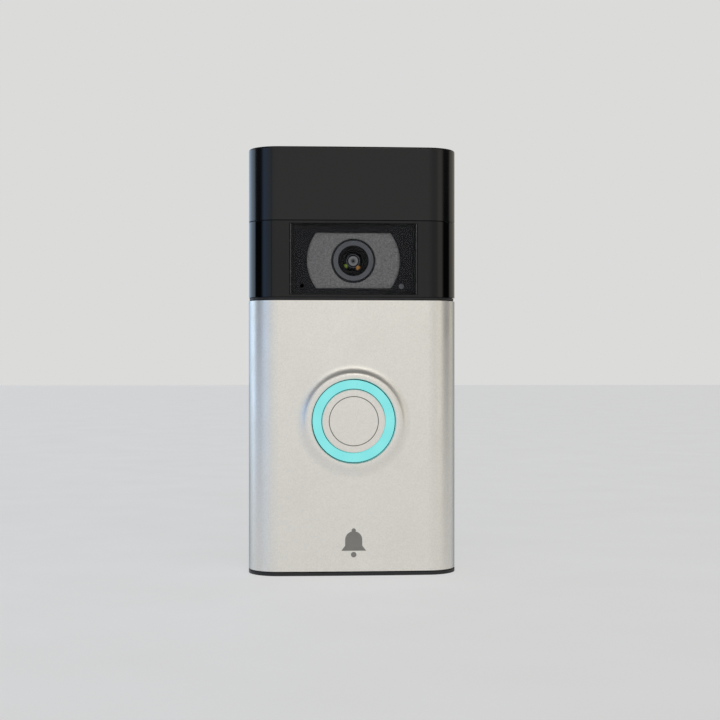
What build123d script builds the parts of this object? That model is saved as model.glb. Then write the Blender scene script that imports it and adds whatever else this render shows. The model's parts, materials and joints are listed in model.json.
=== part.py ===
from build123d import *
import math
import os

# A slim battery video doorbell that is screwed to a wall.
# X runs to the right seen from the front, Z runs up and the front faces -Y.
# The origin is the centre of the back face, and the wall is the plane y = 0.
# "Depth" below always means a distance in front of the wall, in millimetres.

os.makedirs("parts", exist_ok=True)

# ---------------------------------------------------------------- driving dimensions
# Whole body
width = 62.0
height = 126.5
corner_radius = 9.0
crown_sag = 0.7
edge_round = 0.5

# Walls and layers, from the wall to the front
rear_depth = 6.0
rear_wall = 2.2
board_gap = 1.4
board_thickness = 1.2
front_space = 9.2
core_wall = 1.5
plate_side_gap = 0.35
plate_front_gap = 0.45
plate_wall = 1.25
lip_rise = 1.0
body_proud = 0.2
rim_width = 4.4
clad_seam = 0.2
plate_back_gap = 0.4

# Heights of the front sections
cover_height = 21.65
seam = 0.25
fascia_height = 22.45
strip_seam = 0.15
strip_height = 0.6
strip_inset = 0.35
chin_height = 1.0
floor_thickness = 3.4

# Faceplate
lip_gap = 0.3
lip_crest_width = 0.9
lip_slope_width = 2.3
lip_edge_round = 0.3
lip_foot_drop = 0.35
lip_back_drop = 0.3
lip_blend_radius = 4.0
guide_pad_height = 10.0
guide_pad_length = 8.0
guide_pad_start = 8.0
guide_clearance = 0.05
tab_width = 8.0
tab_thickness = 1.0
tab_length = 7.25
tab_clearance = 0.4
emblem_rise = 8.6
emblem_depth = 0.25
emblem_setback = 0.05
emblem_dome_radius = 2.53
emblem_dome_rise = 0.69
emblem_waist_drop = 1.035
emblem_mouth_half_width = 3.68
emblem_mouth_drop = 2.53
emblem_knob_rise = 3.45
emblem_knob_radius = 0.6325
emblem_clapper_drop = 3.68
emblem_clapper_radius = 0.805

# Screws to the wall
wall_screw_inset = 10.0
wall_screw_drop = 5.9
wall_screw_rise = 7.5
wall_screw_radius = 2.2
tunnel_radius = 3.8
tunnel_head_radius = 5.4
tunnel_head_length = 7.3
screw_recess_radius = 4.2
screw_recess_depth = 3.3

# Screws that close the housing
housing_screw_inset = 5.5
housing_screw_top_drop = 8.0
housing_screw_middle_drop = 35.9
housing_screw_low_x = 11.0
housing_screw_low_rise = 5.45
housing_screw_radius = 1.2
housing_screw_head_radius = 2.1
housing_screw_head_height = 1.7
housing_screw_length = 10.6
housing_recess_depth = 2.4
housing_boss_radius = 2.6
housing_boss_length = 12.0
housing_pilot_depth = 10.8
housing_pad_radius = 3.4
head_clearance = 0.2
shank_clearance = 0.1

# Seal between the housings
gasket_width = 0.9
gasket_depth = 0.8

# Security screw under the chin
security_setback = 4.25
security_radius = 1.0
security_head_radius = 1.9
security_head_height = 1.1
security_length = 5.0
security_slot_clearance = 0.3
security_boss_radius = 2.6
security_boss_height = 2.8
security_hex_radius = 0.85

# Camera window
window_width = 37.0
window_band = 0.7
window_clearance = 0.1
window_thickness = 1.3
window_edge_chamfer = 0.35
window_seal_thickness = 0.3
window_seal_width = 1.1

# Camera
camera_drop = 11.65
bezel_radius = 13.8
bezel_half_height = 8.3
bezel_setback = 0.4
bezel_clearance = 0.15
bezel_bore_clearance = 0.4
holder_width = 20.0
holder_height = 18.0
holder_flange_width = 34.0
holder_flange_height = 11.0
holder_flange_thickness = 1.5
lens_head_radius = 6.2
lens_head_setback = 0.3
lens_head_length = 3.5
lens_ring_radius = 4.5
lens_tube_radius = 4.8
lens_bore_radius = 3.0
lens_clearance = 0.05
lens_cone_depth = 1.8
lens_dome_setback = 0.9
lens_dome_rise = 1.5
lens_stop_radius = 2.3
lens_stop_thickness = 0.6
rear_lens_thickness = 1.6
camera_board_gap = 1.0
camera_board_thickness = 1.0
image_sensor_width = 6.0
image_sensor_height = 5.0
image_sensor_thickness = 0.9

# Small openings low in the window
sensor_hole_x = 14.3
microphone_hole_x = -15.2
small_hole_rise = 3.25
light_pipe_radius = 0.75
microphone_bore_radius = 0.6
microphone_size = 3.4
microphone_boot_radius = 1.7
light_sensor_width = 3.0
light_sensor_height = 2.25
chip_height = 0.8

# Infrared lamps
infrared_x = 23.0
infrared_pitch = 11.0
infrared_radius = 1.5
infrared_length = 4.0
infrared_board_width = 7.0
infrared_board_height = 18.0
infrared_setback = 0.7
infrared_board_thickness = 1.0
infrared_post_radius = 1.5

# Motion sensors
motion_drop = 11.85
motion_pitch = 20.0
motion_radius = 4.1
motion_can_height = 4.0
motion_flange_radius = 4.6
motion_flange_height = 0.5
motion_board_gap = 2.4
motion_board_thickness = 1.0
motion_board_width = 42.0
motion_board_height = 13.0
motion_opening_width = 34.0
motion_opening_height = 12.0
shroud_bore_radius = 4.7
shroud_flare_angle = 12.0
facet_columns = 5
facet_rows = 2
facet_width = 6.2
facet_height = 5.2
facet_gap = 0.8
facet_depth = 0.5

# Front button and light ring
button_speaker_gap = 1.6
button_radius = 9.35
button_setback = 0.2
button_thickness = 1.6
button_edge_round = 0.3
button_groove_radius = 7.24
button_groove_width = 0.16
button_groove_depth = 0.12
button_travel = 0.6
stem_radius = 3.0
stem_stop_gap = 0.1
stem_clearance = 0.05
clip_play = 0.05
clip_thickness = 0.5
clip_radius = 4.4
clip_groove_radius = 2.5
clip_gap_angle = 60.0
light_ring_gap = 0.2
light_ring_width = 2.55
light_ring_setback = 0.15
light_ring_round = 0.35
carrier_margin = 0.25
carrier_clearance = 0.05
carrier_flange_width = 1.95
carrier_flange_thickness = 1.4
carrier_post_offset = 0.3
carrier_post_length = 3.4
carrier_post_radius = 1.4
led_count = 8
led_window_radius = 1.2
led_length = 2.4
led_width = 1.6
led_height = 0.8
ring_board_inset = 0.4
ring_board_thickness = 1.0
ring_screw_radius = 0.6
ring_screw_head_radius = 1.4
ring_screw_head_height = 0.8
ring_screw_length = 3.6
boot_wall = 0.3
boot_bead_width = 0.7
boot_inset = 0.25
boot_clearance = 0.05

# Switches under both buttons
switch_width = 5.0
switch_height = 1.6
switch_floor = 0.2
plunger_radius = 1.2
plunger_clearance = 0.05
plunger_entry = 0.6

# Speaker
speaker_rise = 16.5
speaker_radius = 10.5
speaker_wall = 0.8
speaker_height = 4.4
speaker_gasket_thickness = 0.8
speaker_gasket_width = 1.9
speaker_rib = 1.0
speaker_rib_length = 3.3
magnet_radius = 5.8
magnet_proud = 2.2
magnet_length = 3.2
cone_thickness = 0.35
cone_outer_radius = 9.3
cone_inner_radius = 2.6
cone_depth = 2.0
grille_hole_radius = 0.75
grille_pitch = 3.0

# Main board
board_width = 44.0
board_top_drop = 5.25
board_bottom_rise = 5.85
board_notch_clearance = 0.5
board_boss_x = 18.5
board_boss_radius = 2.2
board_boss_top_drop = 20.95
board_boss_bottom_drop = 51.9
board_screw_radius = 0.9
board_screw_length = 4.0
board_screw_head_radius = 1.8
board_screw_head_height = 1.0
shield_width = 18.0
shield_height = 13.0
shield_thickness = 1.9
shield_wall = 0.25
shield_drop = 11.0
chip_size = 6.0
chip_pitch = 10.0
chip_drop = 12.0
antenna_width = 28.0
antenna_length = 13.0
antenna_thickness = 0.8
antenna_start = 8.0

# Battery
battery_width = 38.0
battery_height = 54.0
battery_thickness = 9.0
battery_round = 2.0
battery_top_drop = 8.0
battery_foam_thickness = 0.8
battery_foam_border = 4.0
battery_board_width = 26.0
battery_board_height = 1.0
battery_board_depth = 6.0
battery_rib_thickness = 1.4
battery_rib_height = 5.0
battery_rib_length = 30.0
battery_rib_clearance = 0.3
battery_plug_width = 6.0
battery_plug_height = 4.0
battery_plug_thickness = 2.0
battery_plug_drop = 7.0
wire_radius = 0.5
wire_pitch = 1.6
wire_bend_radius = 1.6

# Wiring recess at the back, with the terminals, the charging socket and the setup button
recess_width = 38.0
recess_height = 26.0
recess_depth = 3.2
recess_wall = 1.8
recess_border = 2.5
recess_round = 2.0
recess_drop = 30.25
terminal_pitch = 17.0
terminal_rise = 6.0
terminal_plate_size = 7.0
terminal_plate_thickness = 0.8
terminal_radius = 1.5
terminal_head_radius = 2.8
terminal_head_height = 1.8
cross_slot_width = 0.7
cross_slot_depth = 0.9
power_board_thickness = 1.2
power_board_width = 36.0
power_board_height = 25.0
power_post_x = 14.5
power_post_z = 3.0
power_post_radius = 2.0
power_peg_radius = 1.0
power_peg_length = 0.9
socket_width = 7.5
socket_height = 2.6
socket_wall = 0.3
socket_mouth_setback = 0.2
socket_length = 5.0
socket_tongue_width = 3.8
socket_tongue_height = 0.7
socket_tongue_setback = 1.0
socket_clearance = 0.3
lower_row_drop = 6.0
lower_row_x = 8.0
setup_radius = 2.5
setup_clearance = 0.1
setup_proud = 0.7
setup_flange_radius = 3.3
setup_flange_thickness = 0.6
setup_flange_gap = 0.05
setup_plunger_entry = 0.6

# Board-to-board plugs
plug_width = 8.0
plug_height = 2.6
ring_plug_drop = 7.0

# ---------------------------------------------------------------- derived places
half_width = width / 2
half_height = height / 2
crown_radius = (half_width**2 + crown_sag**2) / (2 * crown_sag)

battery_back = rear_wall + battery_foam_thickness
board_rear = battery_back + battery_thickness + board_gap
board_front = board_rear + board_thickness
cavity_front = board_front + front_space
core_front = cavity_front + core_wall
plate_inside = core_front + plate_front_gap
plate_front = plate_inside + plate_wall
lip_front = plate_front + lip_rise
body_front = plate_front + body_proud
clad_side = plate_wall + plate_side_gap

core_top = half_height - clad_side
cavity_top = core_top - core_wall
cavity_bottom = -half_height + floor_thickness
cover_bottom = half_height - cover_height
fascia_top = cover_bottom - seam
fascia_bottom = fascia_top - fascia_height
strip_top = fascia_bottom - strip_seam
strip_bottom = strip_top - strip_height
plate_top = strip_bottom - seam
chin_top = -half_height + chin_height
plate_bottom = chin_top + seam
clad_back = rear_depth + clad_seam
plate_back = rear_depth + plate_back_gap

camera_z = fascia_top - camera_drop
small_hole_z = fascia_bottom + small_hole_rise
motion_z = half_height - motion_drop
speaker_z = plate_bottom + speaker_rise
emblem_z = plate_bottom + emblem_rise
recess_z = half_height - recess_drop
terminal_z = recess_z + terminal_rise
lower_row_z = recess_z - lower_row_drop

wall_screw_x = half_width - wall_screw_inset
wall_screw_top_z = plate_top - wall_screw_drop
wall_screw_bottom_z = plate_bottom + wall_screw_rise
wall_screw_points = [
    (x, z)
    for x in (-wall_screw_x, wall_screw_x)
    for z in (wall_screw_bottom_z, wall_screw_top_z)
]
housing_screw_x = half_width - housing_screw_inset
housing_screw_points = [
    (side * x, z)
    for side in (-1, 1)
    for x, z in (
        (housing_screw_x, half_height - housing_screw_top_drop),
        (housing_screw_x, plate_top - housing_screw_middle_drop),
        (housing_screw_low_x, -half_height + housing_screw_low_rise),
    )
]
board_boss_points = [
    (side * board_boss_x, z)
    for side in (-1, 1)
    for z in (half_height - board_boss_top_drop, plate_top - board_boss_bottom_drop)
]
battery_top = wall_screw_top_z - battery_top_drop
battery_z = battery_top - battery_height / 2
socket_mouth_depth = recess_depth + socket_mouth_setback
power_board_rear = socket_mouth_depth + socket_length
power_board_front = power_board_rear + power_board_thickness
power_post_points = [(side * power_post_x, recess_z + power_post_z) for side in (-1, 1)]

light_ring_inner = button_radius + light_ring_gap
light_ring_radius = light_ring_inner + light_ring_width
led_circle = light_ring_inner + light_ring_width / 2
lip_inner_radius = light_ring_radius + lip_gap
lip_shoulder_radius = lip_inner_radius + lip_crest_width
lip_foot_radius = lip_shoulder_radius + lip_slope_width
carrier_radius = lip_inner_radius + carrier_margin
carrier_flange_radius = carrier_radius + carrier_flange_width
carrier_flange_rear = cavity_front - carrier_flange_thickness
carrier_post_circle = light_ring_radius + carrier_post_offset
speaker_rib_radius = speaker_radius + shank_clearance + speaker_rib
button_z = speaker_z + speaker_rib_radius + button_speaker_gap + carrier_flange_radius
ring_board_radius = carrier_flange_radius - ring_board_inset
ring_board_front = carrier_flange_rear - carrier_post_length
ring_board_rear = ring_board_front - ring_board_thickness
stem_rear = ring_board_front + switch_height + button_travel + stem_stop_gap

tab_z = -half_height + floor_thickness / 2
tab_rear = plate_inside - tab_length
security_depth = plate_inside - security_setback
camera_board_rear = board_front + camera_board_gap
camera_board_front = camera_board_rear + camera_board_thickness
lamp_rear = core_front - infrared_setback - infrared_length
infrared_board_rear = lamp_rear - infrared_board_thickness


# ---------------------------------------------------------------- shared shapes
def plan_section(inset, front, back, crowned=True):
    """Plan section between two depths: straight sides, rounded front corners and a crowned front."""
    with BuildSketch(mode=Mode.PRIVATE) as section:
        with Locations((0, -(front + back) / 2)):
            Rectangle(width - 2 * inset, front - back)
        if crowned:
            with Locations((0, crown_radius - front)):
                Circle(crown_radius, mode=Mode.INTERSECT)
        fillet(section.vertices().group_by(Axis.Y)[0], corner_radius - inset)
    return section.sketch


def turning_plane(x, z):
    """Plane for the profile of a round piece: coordinates are (radius, depth)."""
    return Plane(origin=(x, 0, z), x_dir=(1, 0, 0), z_dir=(0, 0, -1))


def turning_axis(x, z):
    """Axis from the wall to the front through this place."""
    return Axis((x, 0, z), (0, -1, 0))


def clipped_circle(radius, half_flat):
    """Circle with a flat top and bottom."""
    with BuildSketch(mode=Mode.PRIVATE) as outline:
        Circle(radius)
        Rectangle(2 * radius, 2 * half_flat, mode=Mode.INTERSECT)
    return outline.sketch


def bell_outline():
    """Small bell: a dome that flares at its mouth, a knob on top and a clapper below."""
    with BuildSketch(mode=Mode.PRIVATE) as bell:
        with Locations((0, emblem_dome_rise)):
            Circle(emblem_dome_radius)
        Polygon(
            (-emblem_dome_radius, emblem_dome_rise),
            (-emblem_dome_radius, -emblem_waist_drop),
            (-emblem_mouth_half_width, -emblem_mouth_drop),
            (emblem_mouth_half_width, -emblem_mouth_drop),
            (emblem_dome_radius, -emblem_waist_drop),
            (emblem_dome_radius, emblem_dome_rise),
            align=None,
        )
        with Locations((0, emblem_knob_rise)):
            Circle(emblem_knob_radius)
        with Locations((0, -emblem_clapper_drop)):
            Circle(emblem_clapper_radius)
    return bell.sketch


def cross_recess(half_length, slot_width):
    """Two crossed slots, the driver recess of a screw head."""
    with BuildSketch(mode=Mode.PRIVATE) as cross:
        Rectangle(2 * half_length, slot_width)
        Rectangle(slot_width, 2 * half_length)
    return cross.sketch


def write_step(piece, name):
    """Label a finished piece and write it to its own file."""
    piece.part.label = name
    export_step(piece.part, f"parts/{name}.step")


# ---------------------------------------------------------------- casing
# Rear housing: a tray whose back lies on the wall, with a rim that carries the front housing.
with BuildPart() as rear_housing:
    with BuildSketch(Plane.XZ):
        Rectangle(width, height)
    extrude(amount=rear_depth)
    fillet(rear_housing.edges().filter_by(Axis.Y), edge_round)
    with BuildSketch(Plane.XZ.offset(rear_wall)):
        Rectangle(width - 2 * rim_width, height - 2 * rim_width)
    extrude(amount=rear_depth - rear_wall, mode=Mode.SUBTRACT)
    # Pads under the closing screws
    with BuildSketch(Plane.XZ.offset(rear_wall)):
        with Locations(*housing_screw_points):
            Circle(housing_pad_radius)
    extrude(amount=rear_depth - rear_wall)
    # Raised block behind the wiring recess
    with BuildSketch(Plane.XZ):
        with Locations((0, recess_z)):
            Rectangle(recess_width + 2 * recess_border, recess_height + 2 * recess_border)
    extrude(amount=recess_depth + recess_wall)
    with BuildSketch(Plane.XZ):
        with Locations((0, recess_z)):
            RectangleRounded(recess_width, recess_height, recess_round)
    extrude(amount=recess_depth, mode=Mode.SUBTRACT)
    # Posts with pegs for the power board
    with BuildSketch(Plane.XZ.offset(recess_depth + recess_wall)):
        with Locations(*power_post_points):
            Circle(power_post_radius)
    extrude(amount=power_board_rear - recess_depth - recess_wall)
    with BuildSketch(Plane.XZ.offset(power_board_rear)):
        with Locations(*power_post_points):
            Circle(power_peg_radius)
    extrude(amount=power_board_thickness + power_peg_length)
    # Ribs either side of the battery
    with BuildSketch(Plane.XZ.offset(rear_wall)):
        rib_offset = battery_width / 2 + battery_rib_clearance + battery_rib_thickness / 2
        with Locations((-rib_offset, battery_z), (rib_offset, battery_z)):
            Rectangle(battery_rib_thickness, battery_rib_length)
    extrude(amount=battery_rib_height)
    # Holes for wall screws and closing screws
    with BuildSketch(Plane.XZ):
        with Locations(*wall_screw_points):
            Circle(wall_screw_radius)
        with Locations(*housing_screw_points):
            Circle(housing_screw_radius + shank_clearance)
    extrude(amount=rear_depth, mode=Mode.SUBTRACT)
    with BuildSketch(Plane.XZ):
        with Locations(*housing_screw_points):
            Circle(housing_screw_head_radius + head_clearance)
    extrude(amount=housing_recess_depth, mode=Mode.SUBTRACT)
    # Openings in the floor of the wiring recess
    with BuildSketch(Plane.XZ.offset(recess_depth)):
        with Locations((-terminal_pitch / 2, terminal_z), (terminal_pitch / 2, terminal_z)):
            Circle(terminal_radius + shank_clearance)
        with Locations((-lower_row_x, lower_row_z)):
            Rectangle(socket_width + 2 * socket_clearance, socket_height + 2 * socket_clearance)
        with Locations((lower_row_x, lower_row_z)):
            Circle(setup_radius + setup_clearance)
    extrude(amount=recess_wall, mode=Mode.SUBTRACT)
    # Groove for the seal, in the face of the rim
    gasket_middle = clad_side + core_wall / 2
    with BuildSketch(Plane.XZ.offset(rear_depth - gasket_depth)):
        Rectangle(
            width - 2 * gasket_middle + gasket_width,
            height - 2 * gasket_middle + gasket_width,
        )
        Rectangle(
            width - 2 * gasket_middle - gasket_width,
            height - 2 * gasket_middle - gasket_width,
            mode=Mode.SUBTRACT,
        )
    extrude(amount=gasket_depth, mode=Mode.SUBTRACT)
write_step(rear_housing, "rear_housing")

# Seal that fills the groove of the rim.
with BuildPart() as housing_gasket:
    with BuildSketch(Plane.XZ.offset(rear_depth - gasket_depth)):
        Rectangle(
            width - 2 * gasket_middle + gasket_width,
            height - 2 * gasket_middle + gasket_width,
        )
        Rectangle(
            width - 2 * gasket_middle - gasket_width,
            height - 2 * gasket_middle - gasket_width,
            mode=Mode.SUBTRACT,
        )
    extrude(amount=gasket_depth)
write_step(housing_gasket, "housing_gasket")

# Tunnels and bosses inside the front housing, cut back to its outline.
with BuildPart() as inner_posts:
    with BuildSketch(Plane.XZ.offset(rear_wall)):
        with Locations(*wall_screw_points):
            Circle(tunnel_radius)
    extrude(amount=core_front - rear_wall)
    with BuildSketch(Plane.XZ.offset(core_front - tunnel_head_length)):
        with Locations(*wall_screw_points):
            Circle(tunnel_head_radius)
    extrude(amount=tunnel_head_length)
    with BuildSketch(Plane.XZ.offset(rear_depth)):
        with Locations(*housing_screw_points):
            Circle(housing_boss_radius)
    extrude(amount=housing_boss_length)
    with BuildSketch(Plane.XZ.offset(board_front)):
        with Locations(*board_boss_points):
            Circle(board_boss_radius)
    extrude(amount=core_front - board_front)
    with BuildSketch(Plane.XZ.offset(lamp_rear)):
        with Locations((-infrared_x, camera_z), (infrared_x, camera_z)):
            Circle(infrared_post_radius)
    extrude(amount=core_front - lamp_rear)
    with BuildSketch(Plane.XY.offset(-half_height)):
        add(plan_section(clad_side, core_front, rear_wall))
    extrude(amount=core_top + half_height, mode=Mode.INTERSECT)

# Front housing: the black core under the cladding, with the chin and the thin strip that show.
with BuildPart() as front_housing:
    with BuildSketch(Plane.XY.offset(-half_height)):
        add(plan_section(clad_side, core_front, rear_depth))
    extrude(amount=core_top + half_height)
    with BuildSketch(Plane.XY.offset(-half_height)):
        add(plan_section(0, body_front, rear_depth))
    extrude(amount=chin_height)
    with BuildSketch(Plane.XY.offset(strip_bottom)):
        add(plan_section(strip_inset, body_front - strip_inset, rear_depth))
    extrude(amount=strip_height)
    # Guide pads on the sides, where the faceplate slides on
    with BuildSketch(Plane.YZ.offset(-half_width + plate_wall + guide_clearance)):
        for pad_z in (wall_screw_bottom_z, wall_screw_top_z):
            with Locations((-guide_pad_start - guide_pad_length / 2, pad_z)):
                Rectangle(guide_pad_length, guide_pad_height)
    extrude(amount=width - 2 * (plate_wall + guide_clearance))
    # Cavity, open to the rear
    with BuildSketch(Plane.XY.offset(cavity_bottom)):
        add(plan_section(clad_side + core_wall, cavity_front, rear_depth, crowned=False))
    extrude(amount=cavity_top - cavity_bottom, mode=Mode.SUBTRACT)
    add(inner_posts.part)
    # Rib that centres the speaker
    with BuildSketch(Plane.XZ.offset(cavity_front - speaker_rib_length)):
        with Locations((0, speaker_z)):
            Circle(speaker_rib_radius)
            Circle(speaker_radius + shank_clearance, mode=Mode.SUBTRACT)
    extrude(amount=speaker_rib_length)
    # Boss over the security screw
    with BuildSketch(Plane.XY.offset(cavity_bottom)):
        with Locations((0, -security_depth)):
            Circle(security_boss_radius)
    extrude(amount=security_boss_height)
    # Wall-screw tunnels and the recesses for their heads
    with BuildSketch(Plane.XZ.offset(rear_wall)):
        with Locations(*wall_screw_points):
            Circle(wall_screw_radius)
    extrude(amount=body_front - rear_wall, mode=Mode.SUBTRACT)
    with BuildSketch(Plane.XZ.offset(core_front - screw_recess_depth)):
        with Locations(*wall_screw_points):
            Circle(screw_recess_radius)
    extrude(amount=screw_recess_depth, mode=Mode.SUBTRACT)
    # Pilot holes of the closing screws and the board screws
    with BuildSketch(Plane.XZ.offset(rear_depth)):
        with Locations(*housing_screw_points):
            Circle(housing_screw_radius)
    extrude(amount=housing_pilot_depth, mode=Mode.SUBTRACT)
    with BuildSketch(Plane.XZ.offset(board_front)):
        with Locations(*board_boss_points):
            Circle(board_screw_radius)
    extrude(amount=board_screw_length, mode=Mode.SUBTRACT)
    # Openings in the front wall: button carrier, camera bezel, small holes, motion sensors, speaker
    with BuildSketch(Plane.XZ.offset(cavity_front)):
        with Locations((0, button_z)):
            Circle(carrier_radius + carrier_clearance)
        with Locations((0, camera_z)):
            add(clipped_circle(bezel_radius + bezel_clearance, bezel_half_height + bezel_clearance))
        with Locations((sensor_hole_x, small_hole_z)):
            Circle(light_pipe_radius + lens_clearance)
        with Locations((microphone_hole_x, small_hole_z)):
            Circle(microphone_bore_radius)
        with Locations((0, motion_z)):
            Rectangle(motion_opening_width, motion_opening_height)
        with Locations((0, speaker_z)):
            with HexLocations(grille_pitch / 2, 4, 4):
                Circle(grille_hole_radius)
    extrude(amount=body_front - cavity_front, mode=Mode.SUBTRACT)
    # Holes for the infrared lamps, through the rounded corners of the wall
    with BuildSketch(Plane.XZ.offset(lamp_rear)):
        with Locations((0, camera_z)):
            with GridLocations(2 * infrared_x, infrared_pitch, 2, 2):
                Circle(infrared_radius + shank_clearance)
    extrude(amount=body_front - lamp_rear, mode=Mode.SUBTRACT)
    # Pocket for the locking tab, and the way in for the security screw
    tab_gap_height = tab_thickness + 2 * tab_clearance
    with BuildSketch(Plane.XZ.offset(tab_rear - tab_clearance)):
        with Locations((0, tab_z)):
            Rectangle(tab_width + 2 * tab_clearance, tab_gap_height)
    extrude(amount=core_front - tab_rear + tab_clearance, mode=Mode.SUBTRACT)
    with BuildSketch(Plane.XY.offset(-half_height)):
        with Locations((0, -security_depth)):
            Circle(security_radius)
    extrude(amount=security_length + security_head_height, mode=Mode.SUBTRACT)
    with BuildSketch(Plane.XY.offset(-half_height)):
        with Locations((0, -security_depth)):
            Circle(security_head_radius + head_clearance)
    extrude(amount=security_head_height, mode=Mode.SUBTRACT)
write_step(front_housing, "front_housing")

# Closing screws, driven from the back.
with BuildPart() as housing_screws:
    with BuildSketch(Plane.XZ.offset(housing_recess_depth)):
        with Locations(*housing_screw_points):
            Circle(housing_screw_radius)
    extrude(amount=housing_screw_length)
    with BuildSketch(Plane.XZ.offset(housing_recess_depth - housing_screw_head_height)):
        with Locations(*housing_screw_points):
            Circle(housing_screw_head_radius)
    extrude(amount=housing_screw_head_height)
    with BuildSketch(Plane.XZ.offset(housing_recess_depth - housing_screw_head_height)):
        with Locations(*housing_screw_points):
            add(cross_recess(housing_screw_radius, cross_slot_width))
    extrude(amount=cross_slot_depth, mode=Mode.SUBTRACT)
write_step(housing_screws, "housing_screws")

# Security screw, from below through the slot of the faceplate's tab.
with BuildPart() as security_screw:
    with BuildSketch(Plane.XY.offset(-half_height)):
        with Locations((0, -security_depth)):
            Circle(security_head_radius)
    extrude(amount=security_head_height)
    with BuildSketch(Plane.XY.offset(-half_height + security_head_height)):
        with Locations((0, -security_depth)):
            Circle(security_radius)
    extrude(amount=security_length)
    with BuildSketch(Plane.XY.offset(-half_height)):
        with Locations((0, -security_depth)):
            RegularPolygon(security_hex_radius, 6)
    extrude(amount=security_head_height, mode=Mode.SUBTRACT)
write_step(security_screw, "security_screw")

# Sensor cover: the black cap over the top, moulded with lens facets inside.
with BuildPart() as sensor_cover:
    with BuildSketch(Plane.XY.offset(cover_bottom)):
        add(plan_section(0, body_front, clad_back))
    extrude(amount=cover_height)
    fillet(sensor_cover.faces().sort_by(Axis.Z)[-1].edges(), edge_round)
    with BuildSketch(Plane.XY.offset(cover_bottom)):
        add(plan_section(clad_side, core_front, clad_back))
    extrude(amount=core_top - cover_bottom, mode=Mode.SUBTRACT)
    with BuildSketch(Plane.XZ.offset(cavity_front)):
        with Locations((0, motion_z)):
            with GridLocations(
                facet_width + facet_gap, facet_height + facet_gap, facet_columns, facet_rows
            ):
                Rectangle(facet_width, facet_height)
    extrude(amount=core_wall + facet_depth, mode=Mode.SUBTRACT)
write_step(sensor_cover, "sensor_cover")

# Fascia: the glossy surround of the camera window.
with BuildPart() as camera_fascia:
    with BuildSketch(Plane.XY.offset(fascia_bottom)):
        add(plan_section(0, body_front, clad_back))
        add(plan_section(clad_side, core_front, clad_back), mode=Mode.SUBTRACT)
    extrude(amount=fascia_height)
    with BuildSketch(Plane.XZ.offset(cavity_front)):
        with Locations((0, (fascia_top + fascia_bottom) / 2)):
            Rectangle(window_width + 2 * window_clearance, fascia_height - 2 * window_band)
    extrude(amount=body_front - cavity_front, mode=Mode.SUBTRACT)
    opening_edges = camera_fascia.edges().filter_by(Axis.Z).filter_by_position(
        Axis.X, -window_width / 2 - seam, window_width / 2 + seam
    )
    chamfer(opening_edges.group_by(Axis.Y)[0], window_edge_chamfer)
write_step(camera_fascia, "camera_fascia")

# Window pane, glued on a frame-shaped seal, with the microphone's hole.
window_height = fascia_height - 2 * window_band - 2 * window_clearance
with BuildPart() as window_seal:
    with BuildSketch(Plane.XZ.offset(core_front)):
        with Locations((0, (fascia_top + fascia_bottom) / 2)):
            Rectangle(window_width, window_height)
            Rectangle(
                window_width - 2 * window_seal_width,
                window_height - 2 * window_seal_width,
                mode=Mode.SUBTRACT,
            )
    extrude(amount=window_seal_thickness)
write_step(window_seal, "window_seal")

with BuildPart() as camera_window:
    with BuildSketch(Plane.XZ.offset(core_front + window_seal_thickness)):
        with Locations((0, (fascia_top + fascia_bottom) / 2)):
            Rectangle(window_width, window_height)
        with Locations((microphone_hole_x, small_hole_z)):
            Circle(microphone_bore_radius, mode=Mode.SUBTRACT)
    extrude(amount=window_thickness)
write_step(camera_window, "camera_window")

# ---------------------------------------------------------------- camera
# Textured plate with flat top and bottom round the lens.
with BuildPart() as camera_bezel:
    with BuildSketch(Plane.XZ.offset(cavity_front)):
        with Locations((0, camera_z)):
            add(clipped_circle(bezel_radius, bezel_half_height))
            Circle(lens_head_radius + bezel_bore_clearance, mode=Mode.SUBTRACT)
    extrude(amount=core_front - bezel_setback - cavity_front)
write_step(camera_bezel, "camera_bezel")

lens_head_front = core_front - lens_head_setback
lens_head_rear = lens_head_front - lens_head_length
# Holder: a flange on the front wall and a box that guides the lens over the image sensor.
with BuildPart() as camera_holder:
    with BuildSketch(Plane.XZ.offset(camera_board_front)):
        with Locations((0, camera_z)):
            Rectangle(holder_width, holder_height)
    extrude(amount=cavity_front - camera_board_front)
    with BuildSketch(Plane.XZ.offset(cavity_front - holder_flange_thickness)):
        with Locations((0, camera_z)):
            Rectangle(holder_flange_width, holder_flange_height)
    extrude(amount=holder_flange_thickness)
    with BuildSketch(Plane.XZ.offset(camera_board_front)):
        with Locations((0, camera_z)):
            Circle(lens_tube_radius + lens_clearance)
    extrude(amount=cavity_front - camera_board_front, mode=Mode.SUBTRACT)
    with BuildSketch(Plane.XZ.offset(lens_head_rear)):
        with Locations((0, camera_z)):
            Circle(lens_head_radius + lens_clearance)
    extrude(amount=lens_head_length, mode=Mode.SUBTRACT)
write_step(camera_holder, "camera_holder")

# Lens barrel: front ring, stray-light cone, bore for the front lens and seat for the rear lens.
barrel_rear = camera_board_front + image_sensor_thickness + lens_stop_thickness
rear_lens_rear = barrel_rear + lens_stop_thickness
front_lens_rear = rear_lens_rear + rear_lens_thickness + lens_stop_thickness
with BuildPart() as lens_barrel:
    with BuildSketch(turning_plane(0, camera_z)):
        Polygon(
            (lens_stop_radius, barrel_rear),
            (lens_tube_radius, barrel_rear),
            (lens_tube_radius, lens_head_rear),
            (lens_head_radius, lens_head_rear),
            (lens_head_radius, lens_head_front),
            (lens_ring_radius, lens_head_front),
            (lens_bore_radius, lens_head_front - lens_cone_depth),
            (lens_bore_radius, front_lens_rear),
            (lens_stop_radius, front_lens_rear),
            (lens_stop_radius, front_lens_rear - lens_stop_thickness),
            (lens_bore_radius, front_lens_rear - lens_stop_thickness),
            (lens_bore_radius, rear_lens_rear),
            (lens_stop_radius, rear_lens_rear),
            align=None,
        )
    revolve(axis=turning_axis(0, camera_z))
write_step(lens_barrel, "lens_barrel")

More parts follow.
